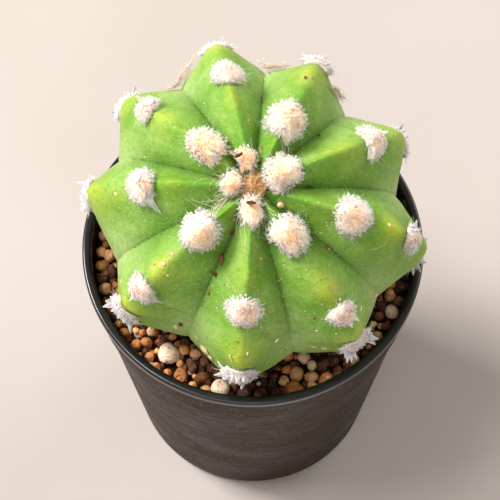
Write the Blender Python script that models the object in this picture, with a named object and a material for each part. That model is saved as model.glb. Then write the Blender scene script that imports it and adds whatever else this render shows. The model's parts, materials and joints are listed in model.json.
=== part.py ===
"""A potted nine-ribbed cactus with woolly areoles, in a tapered plastic nursery pot.

Units are metres and +Z is up. The origin is the centre of the pot's flat underside.
The plant has its own frame: its middle, and an axis that leans towards -Y. On it, the polar
angle runs from 0 at the crown to 180 at the root, and the azimuth runs round the axis from +X.
"""

import math
import random

import bmesh
import bpy
import numpy as np
from mathutils import Vector
from mathutils.bvhtree import BVHTree
from mathutils.geometry import delaunay_2d_cdt

# Pot
RIM_RADIUS = 0.0450
POT_HEIGHT = 0.0918
LIP_WIDTH = 0.0024
LIP_HEIGHT = 0.0026
LIP_BEND = 0.0009
LIP_CROWN = 0.0003
LIP_UNDERCUT = 0.0004
COLLAR_HEIGHT = 0.0152
COLLAR_TOP_RADIUS = 0.0437
COLLAR_FOOT_RADIUS = 0.0431
STEP_CHAMFER = 0.0006
INNER_STEP = 0.0010
BODY_TOP_RADIUS = 0.0424
BASE_RADIUS = 0.0341
BASE_FILLET = 0.0020
WALL = 0.0011
FLOOR = 0.0015
POT_SIDES = 48
DRAIN_HOLES = 8
DRAIN_RADIUS = 0.0033
DRAIN_CIRCLE_RADIUS = 0.0240
DRAIN_SIDES = 12

# Plant: place, lean and overall form
PLANT_MIDDLE = Vector((-0.0003, 0.0020, POT_HEIGHT + 0.0185))
LEAN_FORWARD_DEG = 18.2
LEAN_LEFT_DEG = -1.0
GIRTH = 0.0427
CROWN_RISE = 0.0321
UNDERSIDE_DROP = 0.0260
CROWN_DIP = 0.0030
CROWN_DIP_DEG = 13.0
RIB_AZIMUTHS = (102.6, 64.3, 23.7, -14.7, -53.6, -94.7, -139.8, -184.0, -219.1)
RIB_GAIN = (-0.018, -0.054, -0.017, 0.058, 0.050, 0.055, 0.018, -0.019, -0.027)
GAIN_POLAR = (24.0, 72.0, 115.0, 150.0)
FURROW_AZIMUTHS = (84.2, 43.7, 3.4, -36.3, -74.4, -116.0, -157.4, -198.6, -238.7)
FURROW_GAIN = (1.46, 1.65, 1.05, 0.60, 0.68, 1.06, 1.09, 1.24, 1.30)
FURROW_POLAR = (0.0, 12.0, 30.0, 60.0, 90.0, 120.0, 150.0, 180.0)
FURROW_DEPTH = (0.0, 0.115, 0.165, 0.150, 0.125, 0.090, 0.020, 0.0)
BELLY = 0.0001
CHIN_HEIGHT = 0.0014
CHIN_LEVEL = 0.35
CHIN_SKEW = 1.7
HIDDEN_AREOLE_STEP = 36.0
RELIEF_STARTS, RELIEF_ENDS = 9.0, 152.0
RELIEF_FADE = 30.0
RIDGE_ROUND = 0.15
RIDGE_SHARPEN = 0.04
RIB_COLUMNS = (-1.0, -0.74, -0.42, -0.13, 0.0, 0.13, 0.42, 0.74)
BODY_ROWS = 29
BODY_FIRST_POLAR, BODY_LAST_POLAR = 4.5, 151.0

# Root, upright in its hole in the soil. Its rings are (radius, height above the rim).
ROOT_X, ROOT_Y = -0.0007, 0.0100
ROOT_PROFILE = ((0.0105, -0.0125), (0.0094, -0.0170), (0.0074, -0.0220), (0.0045, -0.0260))
ROOT_TIP = -0.0275
ROOT_ROOM = 0.0009
HOLE_RADIUS = 0.0145

# Areoles: the polar angles of each rib's areoles from the crown outwards. The youngest, inside the crown
# limit, have their own half width (across the rib) and half length (along it), listed by rib. The others
# take their size from the polar angle.
AREOLE_POLAR = (
    (13.5, 53.8, 89.0, 121.0),
    (33.0, 82.5, 115.0),
    (14.3, 58.0, 91.0, 121.0),
    (43.0, 70.0, 98.0),
    (26.5, 62.5, 81.0),
    (11.0, 50.0, 80.0),
    (30.3, 63.3, 80.5),
    (10.3, 47.5, 91.0, 118.0),
    (27.8, 60.8, 90.0, 121.0),
)
CROWN_LIMIT = 20.0
CROWN_TUFTS = {0: (0.0028, 0.0033), 2: (0.0052, 0.0052), 5: (0.0034, 0.0042), 7: (0.0031, 0.0034)}
TUFT_POLAR = (20.0, 45.0, 62.0, 90.0, 125.0)
TUFT_HALF_WIDTH = (0.0052, 0.0049, 0.0045, 0.0042, 0.0027)
TUFT_HALF_LENGTH = (0.0053, 0.0049, 0.0037, 0.0026, 0.0020)
TUFT_HEIGHT = (0.0036, 0.0033, 0.0025, 0.0014, 0.0010)
TUFT_SPIKE = (0.0006, 0.0006, 0.0008, 0.0026, 0.0014)
TUFT_SECTORS = 12
TUFT_FEET = (0.50, 0.96)
TUFT_RINGS = (1.0, 0.84, 0.56, 0.28)
TUFT_EDGE = 0.0004
TUFT_SPLAY = (0.3, 0.8)
TUFT_NEIGHBOURHOOD = 0.014
WOOL_GAP = 0.0003
SEAT_STEP = 0.00003

# Soil and its pebbles. Pebbles thrown later are smaller, down to the shrink's share less.
SOIL_GAP = 0.0003
SOIL_WALL_GAP = 0.0004
SOIL_LEVEL = POT_HEIGHT - 0.0082
PEBBLE_SEED = 11
PEBBLE_TRIES = 6000
PEBBLE_SMALL, PEBBLE_LARGE = 0.0019, 0.0030
PEBBLE_SHRINK = 0.35
PEBBLE_JITTER = 0.0007
PEBBLE_INNER_SHARE = 0.55
PEBBLE_DOME = 1.15
PEBBLE_HEADROOM = 0.0012
PEBBLE_RINGS = ((0.55, 4), (0.93, 7))
ROOT_HOLE_TIP_RADIUS = 0.0030
BOWL_GAP = 0.0006
BOWL_SIDES = 24
BOWL_RINGS = 7
BOWL_RING_STEP = 0.0024

# Dried flower stalks on the far side: (azimuth, polar angle, turn from the rib's direction, length)
DRIED_FLOWERS = (
    (121.5, 79.0, -62.0, 0.0105),
    (79.0, 80.0, 72.0, 0.0085),
    (52.5, 78.0, -30.0, 0.0080),
)
FLOWER_RADIUS = 0.0007
FLOWER_SIDES = 6
FLOWER_STEPS = 7
FLOWER_GAP = 0.0004
FLOWER_START = 0.35
FLOWER_ARCH = 0.0008
FLOWER_RISE = 0.0020
FLOWER_BEND = 0.0012
FLOWER_PLEAT = 0.16
FLOWER_ENDS = (0.0004, 0.0008)


def clear_scene():
    for obj in list(bpy.data.objects):
        bpy.data.objects.remove(obj, do_unlink=True)


def material(name, colour, roughness, metallic=0.0):
    made = bpy.data.materials.new(name)
    made.use_nodes = True
    shader = made.node_tree.nodes["Principled BSDF"]
    shader.inputs["Base Color"].default_value = (*colour, 1.0)
    shader.inputs["Roughness"].default_value = roughness
    shader.inputs["Metallic"].default_value = metallic
    made.diffuse_color = (*colour, 1.0)
    return made


def placed(name, mesh, finish, sharp_deg=35.0):
    """Links a mesh as one named object with its finish, shaded smooth with its sharp edges kept."""
    mesh.materials.append(finish)
    mesh.shade_smooth()
    mesh.set_sharp_from_angle(angle=math.radians(sharp_deg))
    obj = bpy.data.objects.new(name, mesh)
    bpy.context.scene.collection.objects.link(obj)
    return obj


def skinned(name, rings, first_pole, last_pole):
    """A closed mesh over rings of equal length, with a fan of triangles at each end."""
    count = len(rings[0])
    points = [tuple(first_pole)] + [tuple(p) for ring in rings for p in ring] + [tuple(last_pole)]
    last = len(points) - 1
    faces = []
    for j in range(count):
        after = (j + 1) % count
        faces.append((0, 1 + after, 1 + j))
        for i in range(len(rings) - 1):
            low = 1 + i * count
            high = low + count
            faces.append((low + j, low + after, high + after, high + j))
        top = 1 + (len(rings) - 1) * count
        faces.append((last, top + j, top + after))
    mesh = bpy.data.meshes.new(name)
    mesh.from_pydata(points, [], faces)
    facing_out(mesh)
    return mesh


def facing_out(mesh):
    work = bmesh.new()
    work.from_mesh(mesh)
    bmesh.ops.recalc_face_normals(work, faces=work.faces)
    work.to_mesh(mesh)
    work.free()


def circle(radius, height, sides, x=0.0, y=0.0):
    """Points of a level circle, the first of them towards +X."""
    turn = np.arange(sides) * (2 * math.pi / sides)
    return np.stack([x + radius * np.cos(turn), y + radius * np.sin(turn), np.full(sides, height)], 1)


def plant_axes():
    """The plant's three unit axes in world space: across, away from the front, and up its leaning stem."""
    up = np.array([-math.sin(math.radians(LEAN_LEFT_DEG)), -math.sin(math.radians(LEAN_FORWARD_DEG)), 0.0])
    up[2] = math.sqrt(1.0 - up @ up)
    across = np.array([1.0, 0.0, 0.0]) - up * up[0]
    across /= np.linalg.norm(across)
    return np.stack([across, np.cross(up, across), up])


AXES = plant_axes()


def spheroid(polar):
    """Distance from the plant's middle to the rounded form that touches every ridge. Polar is in radians."""
    height = np.where(np.cos(polar) > 0, CROWN_RISE, UNDERSIDE_DROP)
    reach = 1.0 / np.sqrt((np.sin(polar) / GIRTH) ** 2 + (np.cos(polar) / height) ** 2)
    return reach - CROWN_DIP * np.exp(-((np.degrees(polar) / CROWN_DIP_DEG) ** 2))


def rib_place(azimuth):
    """For azimuths in degrees: the rib, the angle from its ridge, and the rib's half width on that side."""
    ridge = np.array(RIB_AZIMUTHS)
    ahead = (np.roll(np.array(FURROW_AZIMUTHS), 1) - ridge) % 360
    behind = (ridge - np.array(FURROW_AZIMUTHS)) % 360
    off = (np.asarray(azimuth)[..., None] - ridge + 180) % 360 - 180
    half = np.where(off > 0, ahead, behind)
    rib = np.argmin(np.abs(off) / half, -1)
    picked = rib[..., None]
    return rib, np.take_along_axis(off, picked, -1)[..., 0], np.take_along_axis(half, picked, -1)[..., 0]


def chin(rib, polar_deg):
    """0 at an areole, rising to 1 on the ridge between two areoles, a little past half way outwards."""
    share = np.zeros_like(polar_deg)
    for k, angles in enumerate(AREOLE_POLAR):
        beyond = [angles[-1] + HIDDEN_AREOLE_STEP, angles[-1] + 2 * HIDDEN_AREOLE_STEP]
        marks = np.array([angles[0] - HIDDEN_AREOLE_STEP, *angles, *beyond])
        along = np.interp(polar_deg, marks, np.arange(len(marks)))
        share = np.where(rib == k, along % 1.0, share)
    return np.sin(math.pi * share**CHIN_SKEW) ** 2


def gain_share(polar_deg):
    """How far the gains are at work: eased in from the crown, and out again towards the root."""
    start, full, still, end = GAIN_POLAR
    rise = np.clip((polar_deg - start) / (full - start), 0, 1)
    fall = np.clip((end - polar_deg) / (end - still), 0, 1)
    return rise**2 * (3 - 2 * rise) * fall**2 * (3 - 2 * fall)


def body_reach(polar, azimuth_deg):
    """Distance from the plant's middle to its skin.

    Each rib's side is the straight line from its ridge to its furrow, rounded over the ridge, swollen a
    little towards the furrow and raised into a chin between areoles. Every rib has its own gain in reach,
    and every furrow its own gain in depth. The relief fades out at both poles.
    """
    polar_deg = np.degrees(polar)
    rib, off, half = rib_place(azimuth_deg)
    relief = np.clip(polar_deg / RELIEF_STARTS, 0, 1) ** 1.5
    relief = relief * np.clip((RELIEF_ENDS - polar_deg) / RELIEF_FADE, 0, 1)
    swell = chin(rib, polar_deg)
    gain = gain_share(polar_deg)
    ridge = spheroid(polar) * (1.0 + np.array(RIB_GAIN)[rib] * gain)
    ridge = ridge + CHIN_HEIGHT * (swell - CHIN_LEVEL) * relief
    deeper = 1.0 + (np.array(FURROW_GAIN)[np.where(off > 0, rib - 1, rib)] - 1.0) * gain
    furrow = spheroid(polar) * (1.0 - np.interp(polar_deg, FURROW_POLAR, FURROW_DEPTH) * deeper)
    round_off = RIDGE_ROUND - RIDGE_SHARPEN * swell
    share = np.abs(off) / half
    eased = (np.sqrt(share**2 + round_off**2) - round_off) / (np.sqrt(1 + round_off**2) - round_off)
    angle, width = np.radians(eased * half), np.radians(half)
    chord = ridge * furrow * np.sin(width) / (ridge * np.sin(angle) + furrow * np.sin(width - angle))
    return chord + BELLY * np.sin(math.pi * eased) * relief


def plant_point(reach, polar, azimuth_deg):
    """World points at a distance from the plant's middle in the direction of the two angles."""
    turn = np.radians(azimuth_deg)
    local = np.stack([np.sin(polar) * np.cos(turn), np.sin(polar) * np.sin(turn), np.cos(polar)], -1)
    return (local * np.asarray(reach)[..., None]) @ AXES + np.array(PLANT_MIDDLE)


def skin_point(polar, azimuth_deg):
    return plant_point(body_reach(polar, azimuth_deg), polar, azimuth_deg)


def search_tree(mesh):
    return BVHTree.FromPolygons([v.co for v in mesh.vertices], [tuple(p.vertices) for p in mesh.polygons])


def skin_under(skin, points):
    """Where the lines from the plant's middle towards the given points leave the built skin."""
    hits = [skin.ray_cast(PLANT_MIDDLE, Vector(p) - PLANT_MIDDLE)[0] for p in points]
    return np.array([tuple(hit) for hit in hits])


def seat(mesh, outward, body):
    """Slides a mesh outwards until it and the built body are clear of each other by the wool gap."""
    outward = Vector(outward).normalized()
    skin = search_tree(body.data)
    middle = sum((v.co for v in mesh.vertices), Vector()) / len(mesh.vertices)
    near = [v.co for v in body.data.vertices if (v.co - middle).length < TUFT_NEIGHBOURHOOD]
    while True:
        own = search_tree(mesh)
        clear = not own.overlap(skin)
        clear = clear and all(skin.find_nearest(v.co, WOOL_GAP)[0] is None for v in mesh.vertices)
        if clear and all(own.find_nearest(co, WOOL_GAP)[0] is None for co in near):
            return
        for v in mesh.vertices:
            v.co += outward * SEAT_STEP


def make_body(finish):
    """The ribbed globe, closed below by its root, which stands upright in the soil."""
    azimuths = []
    for k in range(len(RIB_AZIMUTHS)):
        ridge = RIB_AZIMUTHS[k]
        behind = (ridge - FURROW_AZIMUTHS[k]) % 360
        ahead = (FURROW_AZIMUTHS[k - 1] - ridge) % 360
        azimuths += [ridge + share * (ahead if share > 0 else behind) for share in RIB_COLUMNS]
    azimuths = np.sort(np.array(azimuths) % 360)
    polars = np.radians(np.linspace(BODY_FIRST_POLAR, BODY_LAST_POLAR, BODY_ROWS))
    rings = [skin_point(np.full_like(azimuths, polar), azimuths) for polar in polars]
    turn = np.radians(azimuths)
    for radius, drop in ROOT_PROFILE:
        height = np.full_like(turn, POT_HEIGHT + drop)
        rings.append(np.stack([ROOT_X + radius * np.cos(turn), ROOT_Y + radius * np.sin(turn), height], 1))
    crown = skin_point(np.array([0.0]), np.array([0.0]))[0]
    tip = (ROOT_X, ROOT_Y, POT_HEIGHT + ROOT_TIP)
    return placed("cactus_body", skinned("cactus_body", rings, crown, tip), finish, 60.0)


def surface_frame(polar, azimuth_deg):
    """A ridge point, its outward normal, and the tangents along the rib (outwards) and across it."""
    step = math.radians(4.0)
    here = skin_point(np.array([polar]), np.array([azimuth_deg]))[0]
    before, after = skin_point(np.array([polar - step, polar + step]), np.array([azimuth_deg, azimuth_deg]))
    along = after - before
    along /= np.linalg.norm(along)
    turn = math.radians(azimuth_deg)
    across = np.array([-math.sin(turn), math.cos(turn), 0.0]) @ AXES
    normal = np.cross(along, across)
    return here, normal / np.linalg.norm(normal), along, across


def make_tuft(name, polar_deg, azimuth_deg, own_size, body, finish):
    """One areole: an oval dome of wool on the ridge, with bristles standing out of it.

    The underside follows the built skin. Every second point of the dome stands out as a bristle, which leans
    outwards the nearer it is to the dome's edge.
    """
    half_width, half_length, rise, spike = (
        float(np.interp(polar_deg, TUFT_POLAR, sizes))
        for sizes in (TUFT_HALF_WIDTH, TUFT_HALF_LENGTH, TUFT_HEIGHT, TUFT_SPIKE)
    )
    if own_size:
        half_width, half_length = own_size
        rise *= (half_width + half_length) / (TUFT_HALF_WIDTH[0] + TUFT_HALF_LENGTH[0])
    here, normal, along, across = surface_frame(math.radians(polar_deg), azimuth_deg)
    skin = search_tree(body.data)
    turn = np.arange(TUFT_SECTORS) * (2 * math.pi / TUFT_SECTORS)
    reach = half_length * np.cos(turn)[:, None] * along + half_width * np.sin(turn)[:, None] * across
    outward = reach / np.linalg.norm(reach, axis=1)[:, None]
    rings = [skin_under(skin, here + reach * share) + normal * WOOL_GAP for share in TUFT_FEET]
    for i, share in enumerate(TUFT_RINGS):
        lean = normal + outward * (TUFT_SPLAY[0] + TUFT_SPLAY[1] * share**2)
        lean /= np.linalg.norm(lean, axis=1)[:, None]
        bristle = np.where((np.arange(TUFT_SECTORS) + i) % 2 == 0, spike, 0.0)
        dome = WOOL_GAP + TUFT_EDGE + rise * math.sqrt(1.0 - share**2)
        rings.append(skin_under(skin, here + reach * share) + normal * dome + lean * bristle[:, None])
    bottom = skin_under(skin, [here])[0] + normal * WOOL_GAP
    mesh = skinned(name, rings, bottom, bottom + normal * (rise + TUFT_EDGE))
    seat(mesh, normal, body)
    return placed(name, mesh, finish, 20.0)


def pot_profile():
    """The pot's section as (radius, height): out along the underside, up the outside, down the inside."""
    step = POT_HEIGHT - COLLAR_HEIGHT
    lip_foot = POT_HEIGHT - LIP_HEIGHT
    inner_top = RIM_RADIUS - LIP_WIDTH
    return [
        (BASE_RADIUS - BASE_FILLET, 0.0),
        (BASE_RADIUS - BASE_FILLET * 0.3, BASE_FILLET * 0.3),
        (BASE_RADIUS, BASE_FILLET),
        (BODY_TOP_RADIUS, step - STEP_CHAMFER),
        (COLLAR_FOOT_RADIUS, step),
        (COLLAR_TOP_RADIUS, lip_foot - LIP_UNDERCUT),
        (RIM_RADIUS - LIP_CROWN, lip_foot),
        (RIM_RADIUS, lip_foot + LIP_BEND),
        (RIM_RADIUS, POT_HEIGHT - LIP_BEND),
        (RIM_RADIUS - LIP_WIDTH * 0.2, POT_HEIGHT - LIP_CROWN),
        (RIM_RADIUS - LIP_WIDTH * 0.5, POT_HEIGHT),
        (RIM_RADIUS - LIP_WIDTH * 0.8, POT_HEIGHT - LIP_CROWN),
        (inner_top, POT_HEIGHT - LIP_BEND),
        (COLLAR_FOOT_RADIUS - WALL, step),
        (BODY_TOP_RADIUS - WALL, step - INNER_STEP),
        (BASE_RADIUS - WALL, FLOOR + BASE_FILLET),
        (BASE_RADIUS - WALL - BASE_FILLET, FLOOR),
    ]


def inner_radius(height):
    """The pot's inner wall radius at a height."""
    step = POT_HEIGHT - COLLAR_HEIGHT
    heights = (FLOOR, FLOOR + BASE_FILLET, step - INNER_STEP, step, POT_HEIGHT - LIP_BEND)
    radii = (
        BASE_RADIUS - WALL - BASE_FILLET,
        BASE_RADIUS - WALL,
        BODY_TOP_RADIUS - WALL,
        COLLAR_FOOT_RADIUS - WALL,
        RIM_RADIUS - LIP_WIDTH,
    )
    return float(np.interp(height, heights, radii))


def make_pot(finish):
    """A turned pot with a flat underside, drained by a circle of holes."""
    rings = [circle(radius, height, POT_SIDES) for radius, height in pot_profile()]
    pot = placed("pot", skinned("pot", rings, (0, 0, 0), (0, 0, FLOOR)), finish)
    work = bmesh.new()
    for k in range(DRAIN_HOLES):
        turn = 2 * math.pi * (k + 0.5) / DRAIN_HOLES
        size = {"radius1": DRAIN_RADIUS, "radius2": DRAIN_RADIUS, "depth": FLOOR * 4}
        made = bmesh.ops.create_cone(work, cap_ends=True, segments=DRAIN_SIDES, **size)
        middle = Vector((DRAIN_CIRCLE_RADIUS * math.cos(turn), DRAIN_CIRCLE_RADIUS * math.sin(turn), 0))
        bmesh.ops.translate(work, verts=made["verts"], vec=middle)
    mesh = bpy.data.meshes.new("drain_cutter")
    work.to_mesh(mesh)
    work.free()
    cutter = bpy.data.objects.new("drain_cutter", mesh)
    bpy.context.scene.collection.objects.link(cutter)
    cutter.hide_render = True
    cutter.display_type = "WIRE"
    cut = pot.modifiers.new("drain holes", "BOOLEAN")
    cut.object = cutter
    cut.operation = "DIFFERENCE"
    return pot


def plant_floor(x, y):
    """Height of the plant's underside above each place, or 1 m where the plant isn't above it."""
    low = np.full(np.shape(x), SOIL_LEVEL - UNDERSIDE_DROP)
    high = np.full(np.shape(x), PLANT_MIDDLE.z)
    middle = np.array(PLANT_MIDDLE)

    def inside(height):
        local = (np.stack([x, y, height], -1) - middle) @ AXES.T
        reach = np.linalg.norm(local, axis=-1)
        polar = np.arccos(np.clip(local[..., 2] / np.maximum(reach, 1e-6), -1, 1))
        widest = spheroid(polar) * (1.0 + max(RIB_GAIN) * gain_share(np.degrees(polar)))
        return reach < widest + CHIN_HEIGHT * (1.0 - CHIN_LEVEL)

    clear = ~inside(high)
    for _ in range(24):
        mid = (low + high) / 2
        hit = inside(mid)
        high = np.where(hit, mid, high)
        low = np.where(hit, low, mid)
    return np.where(clear, 1.0, high)


def pebble_places():
    """Pebbles thrown one by one from a seed round the pot, each kept if it is clear of those before it.

    Those under the plant are then dropped. Each is (x, y, radius, lift above the soil's level).
    """
    draw = random.Random(PEBBLE_SEED)
    wall = inner_radius(SOIL_LEVEL) - SOIL_GAP
    kept = []
    for attempt in range(PEBBLE_TRIES):
        radius = draw.uniform(PEBBLE_SMALL, PEBBLE_LARGE) * (1.0 - PEBBLE_SHRINK * attempt / PEBBLE_TRIES)
        away = wall * math.sqrt(draw.uniform(PEBBLE_INNER_SHARE**2, 1.0))
        turn = draw.uniform(0, 2 * math.pi)
        lift = draw.uniform(-PEBBLE_JITTER, PEBBLE_JITTER)
        x, y = away * math.cos(turn), away * math.sin(turn)
        if away > wall - radius - SOIL_GAP / 4:
            continue
        if any(math.hypot(x - a, y - b) < radius + c for a, b, c, _ in kept):
            continue
        kept.append((x, y, radius, lift))
    mids = np.array([p[:2] for p in kept])
    room = plant_floor(mids[:, 0], mids[:, 1])
    return [p for p, top in zip(kept, room) if top > SOIL_LEVEL + PEBBLE_HEADROOM]


def soil_height(x, y, pebbles):
    """The soil's surface: a level bed with pebble domes, pressed down into a bowl under the plant."""
    height = np.full(np.shape(x), SOIL_LEVEL)
    for mid_x, mid_y, radius, lift in pebbles:
        part = np.hypot(x - mid_x, y - mid_y) / radius
        dome = SOIL_LEVEL + lift + radius * PEBBLE_DOME * np.sqrt(np.clip(1.0 - part**2, 0, 1))
        height = np.where(part < 1.0, np.maximum(height, dome), height)
    return np.minimum(height, plant_floor(x, y) - BOWL_GAP)


def soil_top(pebbles):
    """The top surface as points and triangles, with the rings of points along the wall and round the hole."""
    wall = inner_radius(SOIL_LEVEL) - SOIL_GAP
    rounds = [circle(wall, 0, POT_SIDES), circle(HOLE_RADIUS, 0, BOWL_SIDES, ROOT_X, ROOT_Y)]
    for k in range(1, BOWL_RINGS + 1):
        rounds.append(circle(HOLE_RADIUS + BOWL_RING_STEP * k, 0, BOWL_SIDES, ROOT_X, ROOT_Y))
    for x, y, radius, _ in pebbles:
        rounds.append(np.array([[x, y, 0.0]]))
        rounds += [circle(radius * share, 0, sides, x, y) for share, sides in PEBBLE_RINGS]
    flat = [Vector(p[:2]) for ring in rounds for p in ring]
    edges = [(k, (k + 1) % POT_SIDES) for k in range(POT_SIDES)]
    edges += [(POT_SIDES + k, POT_SIDES + (k + 1) % BOWL_SIDES) for k in range(BOWL_SIDES)]
    spots, _, triangles, origins, _, _ = delaunay_2d_cdt(flat, edges, [], 0, 1e-7)
    place = {start: new for new, starts in enumerate(origins) for start in starts}
    wall_ring = [place[k] for k in range(POT_SIDES)]
    hole_ring = [place[POT_SIDES + k] for k in range(BOWL_SIDES)]
    plan = np.array([tuple(p) for p in spots])
    points = np.column_stack([plan, soil_height(plan[:, 0], plan[:, 1], pebbles)])
    points[wall_ring, 2] = SOIL_LEVEL
    mids = plan[np.array(triangles)].mean(1)
    inner = HOLE_RADIUS * math.cos(math.pi / BOWL_SIDES)
    beside_hole = np.hypot(mids[:, 0] - ROOT_X, mids[:, 1] - ROOT_Y) > inner
    faces = [tuple(t) for t, kept in zip(triangles, beside_hole) if kept]
    return points.tolist(), faces, wall_ring, hole_ring


def carry_down(points, faces, ring, radii_and_heights, x=0.0, y=0.0):
    """Adds walls from a ring of points down through circles, closed by a fan at the last one's middle."""
    for radius, height in radii_and_heights:
        start = len(points)
        points.extend(circle(radius, height, len(ring), x, y).tolist())
        below = list(range(start, start + len(ring)))
        for k in range(len(ring)):
            after = (k + 1) % len(ring)
            faces.append((ring[k], ring[after], below[after], below[k]))
        ring = below
    points.append([x, y, radii_and_heights[-1][1]])
    tip = len(points) - 1
    for k in range(len(ring)):
        faces.append((ring[k], ring[(k + 1) % len(ring)], tip))


def make_soil(finish):
    """The filling of the pot: pebbles in relief on top, and a plain tapered hole for the root."""
    points, faces, wall_ring, hole_ring = soil_top(pebble_places())
    step = POT_HEIGHT - COLLAR_HEIGHT
    heights = (step, step - INNER_STEP, FLOOR + BASE_FILLET, FLOOR + SOIL_GAP)
    carry_down(points, faces, wall_ring, [(inner_radius(h) - SOIL_WALL_GAP, h) for h in heights])
    root = [(radius + ROOT_ROOM, POT_HEIGHT + drop - SOIL_GAP) for radius, drop in ROOT_PROFILE]
    root.append((ROOT_HOLE_TIP_RADIUS, POT_HEIGHT + ROOT_TIP - SOIL_GAP))
    carry_down(points, faces, hole_ring, root, ROOT_X, ROOT_Y)
    mesh = bpy.data.meshes.new("soil")
    mesh.from_pydata(points, [], faces)
    facing_out(mesh)
    return placed("soil", mesh, finish, 50.0)


def make_dried_flower(name, azimuth_deg, polar_deg, turn_deg, length, body, finish):
    """A withered flower stalk: bent, pleated and thicker towards its end, lying close over the skin."""
    here, normal, along, across = surface_frame(math.radians(polar_deg), azimuth_deg)
    skin = search_tree(body.data)
    turn = math.radians(turn_deg)
    heading = along * math.cos(turn) + across * math.sin(turn)
    aside = np.cross(normal, heading)
    rings = []
    middles = []
    for i in range(FLOWER_STEPS):
        share = i / (FLOWER_STEPS - 1)
        radius = FLOWER_RADIUS * (0.75 + 0.9 * math.sin(math.pi * min(share * 1.25, 1.0)) * share)
        foot = skin_under(skin, [here + heading * length * (share - FLOWER_START)])[0]
        lift = FLOWER_GAP + radius + FLOWER_ARCH * math.sin(math.pi * share) + FLOWER_RISE * share**2
        middle = foot + normal * lift + aside * (FLOWER_BEND * math.sin(3 * share))
        middles.append(middle)
        angle = np.arange(FLOWER_SIDES) * (2 * math.pi / FLOWER_SIDES) + 1.2 * share
        pleat = radius * (1.0 + FLOWER_PLEAT * np.cos(2 * angle + 5 * share))
        around = np.outer(np.cos(angle) * pleat, normal) + np.outer(np.sin(angle) * pleat, aside)
        rings.append(middle + around)
    start, end = middles[0] - heading * FLOWER_ENDS[0], middles[-1] + heading * FLOWER_ENDS[1]
    mesh = skinned(name, rings, start, end)
    seat(mesh, normal, body)
    return placed(name, mesh, finish, 40.0)


def main():
    clear_scene()
    green = material("cactus_skin", (0.215, 0.400, 0.070), 0.50)
    wool = material("areole_wool", (0.800, 0.700, 0.610), 0.95)
    black = material("pot_plastic", (0.030, 0.026, 0.023), 0.45)
    earth = material("soil_pebbles", (0.200, 0.095, 0.045), 0.90)
    withered = material("dried_flower", (0.420, 0.270, 0.160), 0.90)
    make_pot(black)
    make_soil(earth)
    body = make_body(green)
    for k, angles in enumerate(AREOLE_POLAR):
        for row, polar in enumerate(angles):
            own_size = CROWN_TUFTS[k] if polar < CROWN_LIMIT else None
            make_tuft(f"areole_rib{k + 1}_{row + 1}", polar, RIB_AZIMUTHS[k], own_size, body, wool)
    for k, (azimuth, polar, turn, length) in enumerate(DRIED_FLOWERS):
        make_dried_flower(f"dried_flower_{k + 1}", azimuth, polar, turn, length, body, withered)


main()
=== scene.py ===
import json
import math

import bmesh
import bpy
import numpy as np
from mathutils import Matrix

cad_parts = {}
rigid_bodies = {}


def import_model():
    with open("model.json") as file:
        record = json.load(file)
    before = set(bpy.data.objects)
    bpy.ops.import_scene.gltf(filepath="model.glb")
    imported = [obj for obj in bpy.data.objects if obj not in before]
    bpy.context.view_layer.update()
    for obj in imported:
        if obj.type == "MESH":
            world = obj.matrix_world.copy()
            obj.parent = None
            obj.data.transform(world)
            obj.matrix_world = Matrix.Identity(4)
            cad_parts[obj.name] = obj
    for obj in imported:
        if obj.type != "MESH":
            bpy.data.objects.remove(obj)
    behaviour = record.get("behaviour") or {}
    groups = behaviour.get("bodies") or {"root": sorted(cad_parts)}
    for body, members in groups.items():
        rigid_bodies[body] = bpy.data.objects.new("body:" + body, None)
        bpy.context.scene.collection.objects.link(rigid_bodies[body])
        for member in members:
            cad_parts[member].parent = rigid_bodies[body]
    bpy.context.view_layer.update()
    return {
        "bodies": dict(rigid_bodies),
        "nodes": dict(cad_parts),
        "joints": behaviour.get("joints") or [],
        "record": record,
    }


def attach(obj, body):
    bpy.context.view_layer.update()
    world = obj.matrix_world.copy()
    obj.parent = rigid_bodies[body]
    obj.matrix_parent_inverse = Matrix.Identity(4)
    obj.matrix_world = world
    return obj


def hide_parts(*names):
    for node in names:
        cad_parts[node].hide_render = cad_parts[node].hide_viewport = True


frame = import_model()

# The potted cactus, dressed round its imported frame. Units are metres, +Z is up, and the origin is the middle
# of the pot's underside. The plant has its own leaning frame, with a polar angle from its crown (0) to its
# root (180) and an azimuth round its stem. Colours are written as sRGB values and turned linear in tint().

MM = 0.001

# Pot
RIM_RADIUS = 0.0450
POT_HEIGHT = 0.0918
LIP_WIDTH = 0.0024
LIP_HEIGHT = 0.0026
LIP_UNDERCUT = 0.0004
COLLAR_HEIGHT = 0.0152
STEP_HEIGHT = POT_HEIGHT - COLLAR_HEIGHT
COLLAR_TOP_RADIUS = 0.0437
COLLAR_FOOT_RADIUS = 0.0431
STEP_CHAMFER = 0.0006
INNER_STEP = 0.0010
BODY_TOP_RADIUS = 0.0424
BASE_RADIUS = 0.0341
BASE_FILLET = 0.0020
WALL = 0.0011
FLOOR = 0.0015
CORNER_EASE = 0.9 * MM
POT_SIDES = 192
DRAIN_HOLES = 8
DRAIN_RADIUS = 0.0033
DRAIN_CIRCLE_RADIUS = 0.0240

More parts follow.
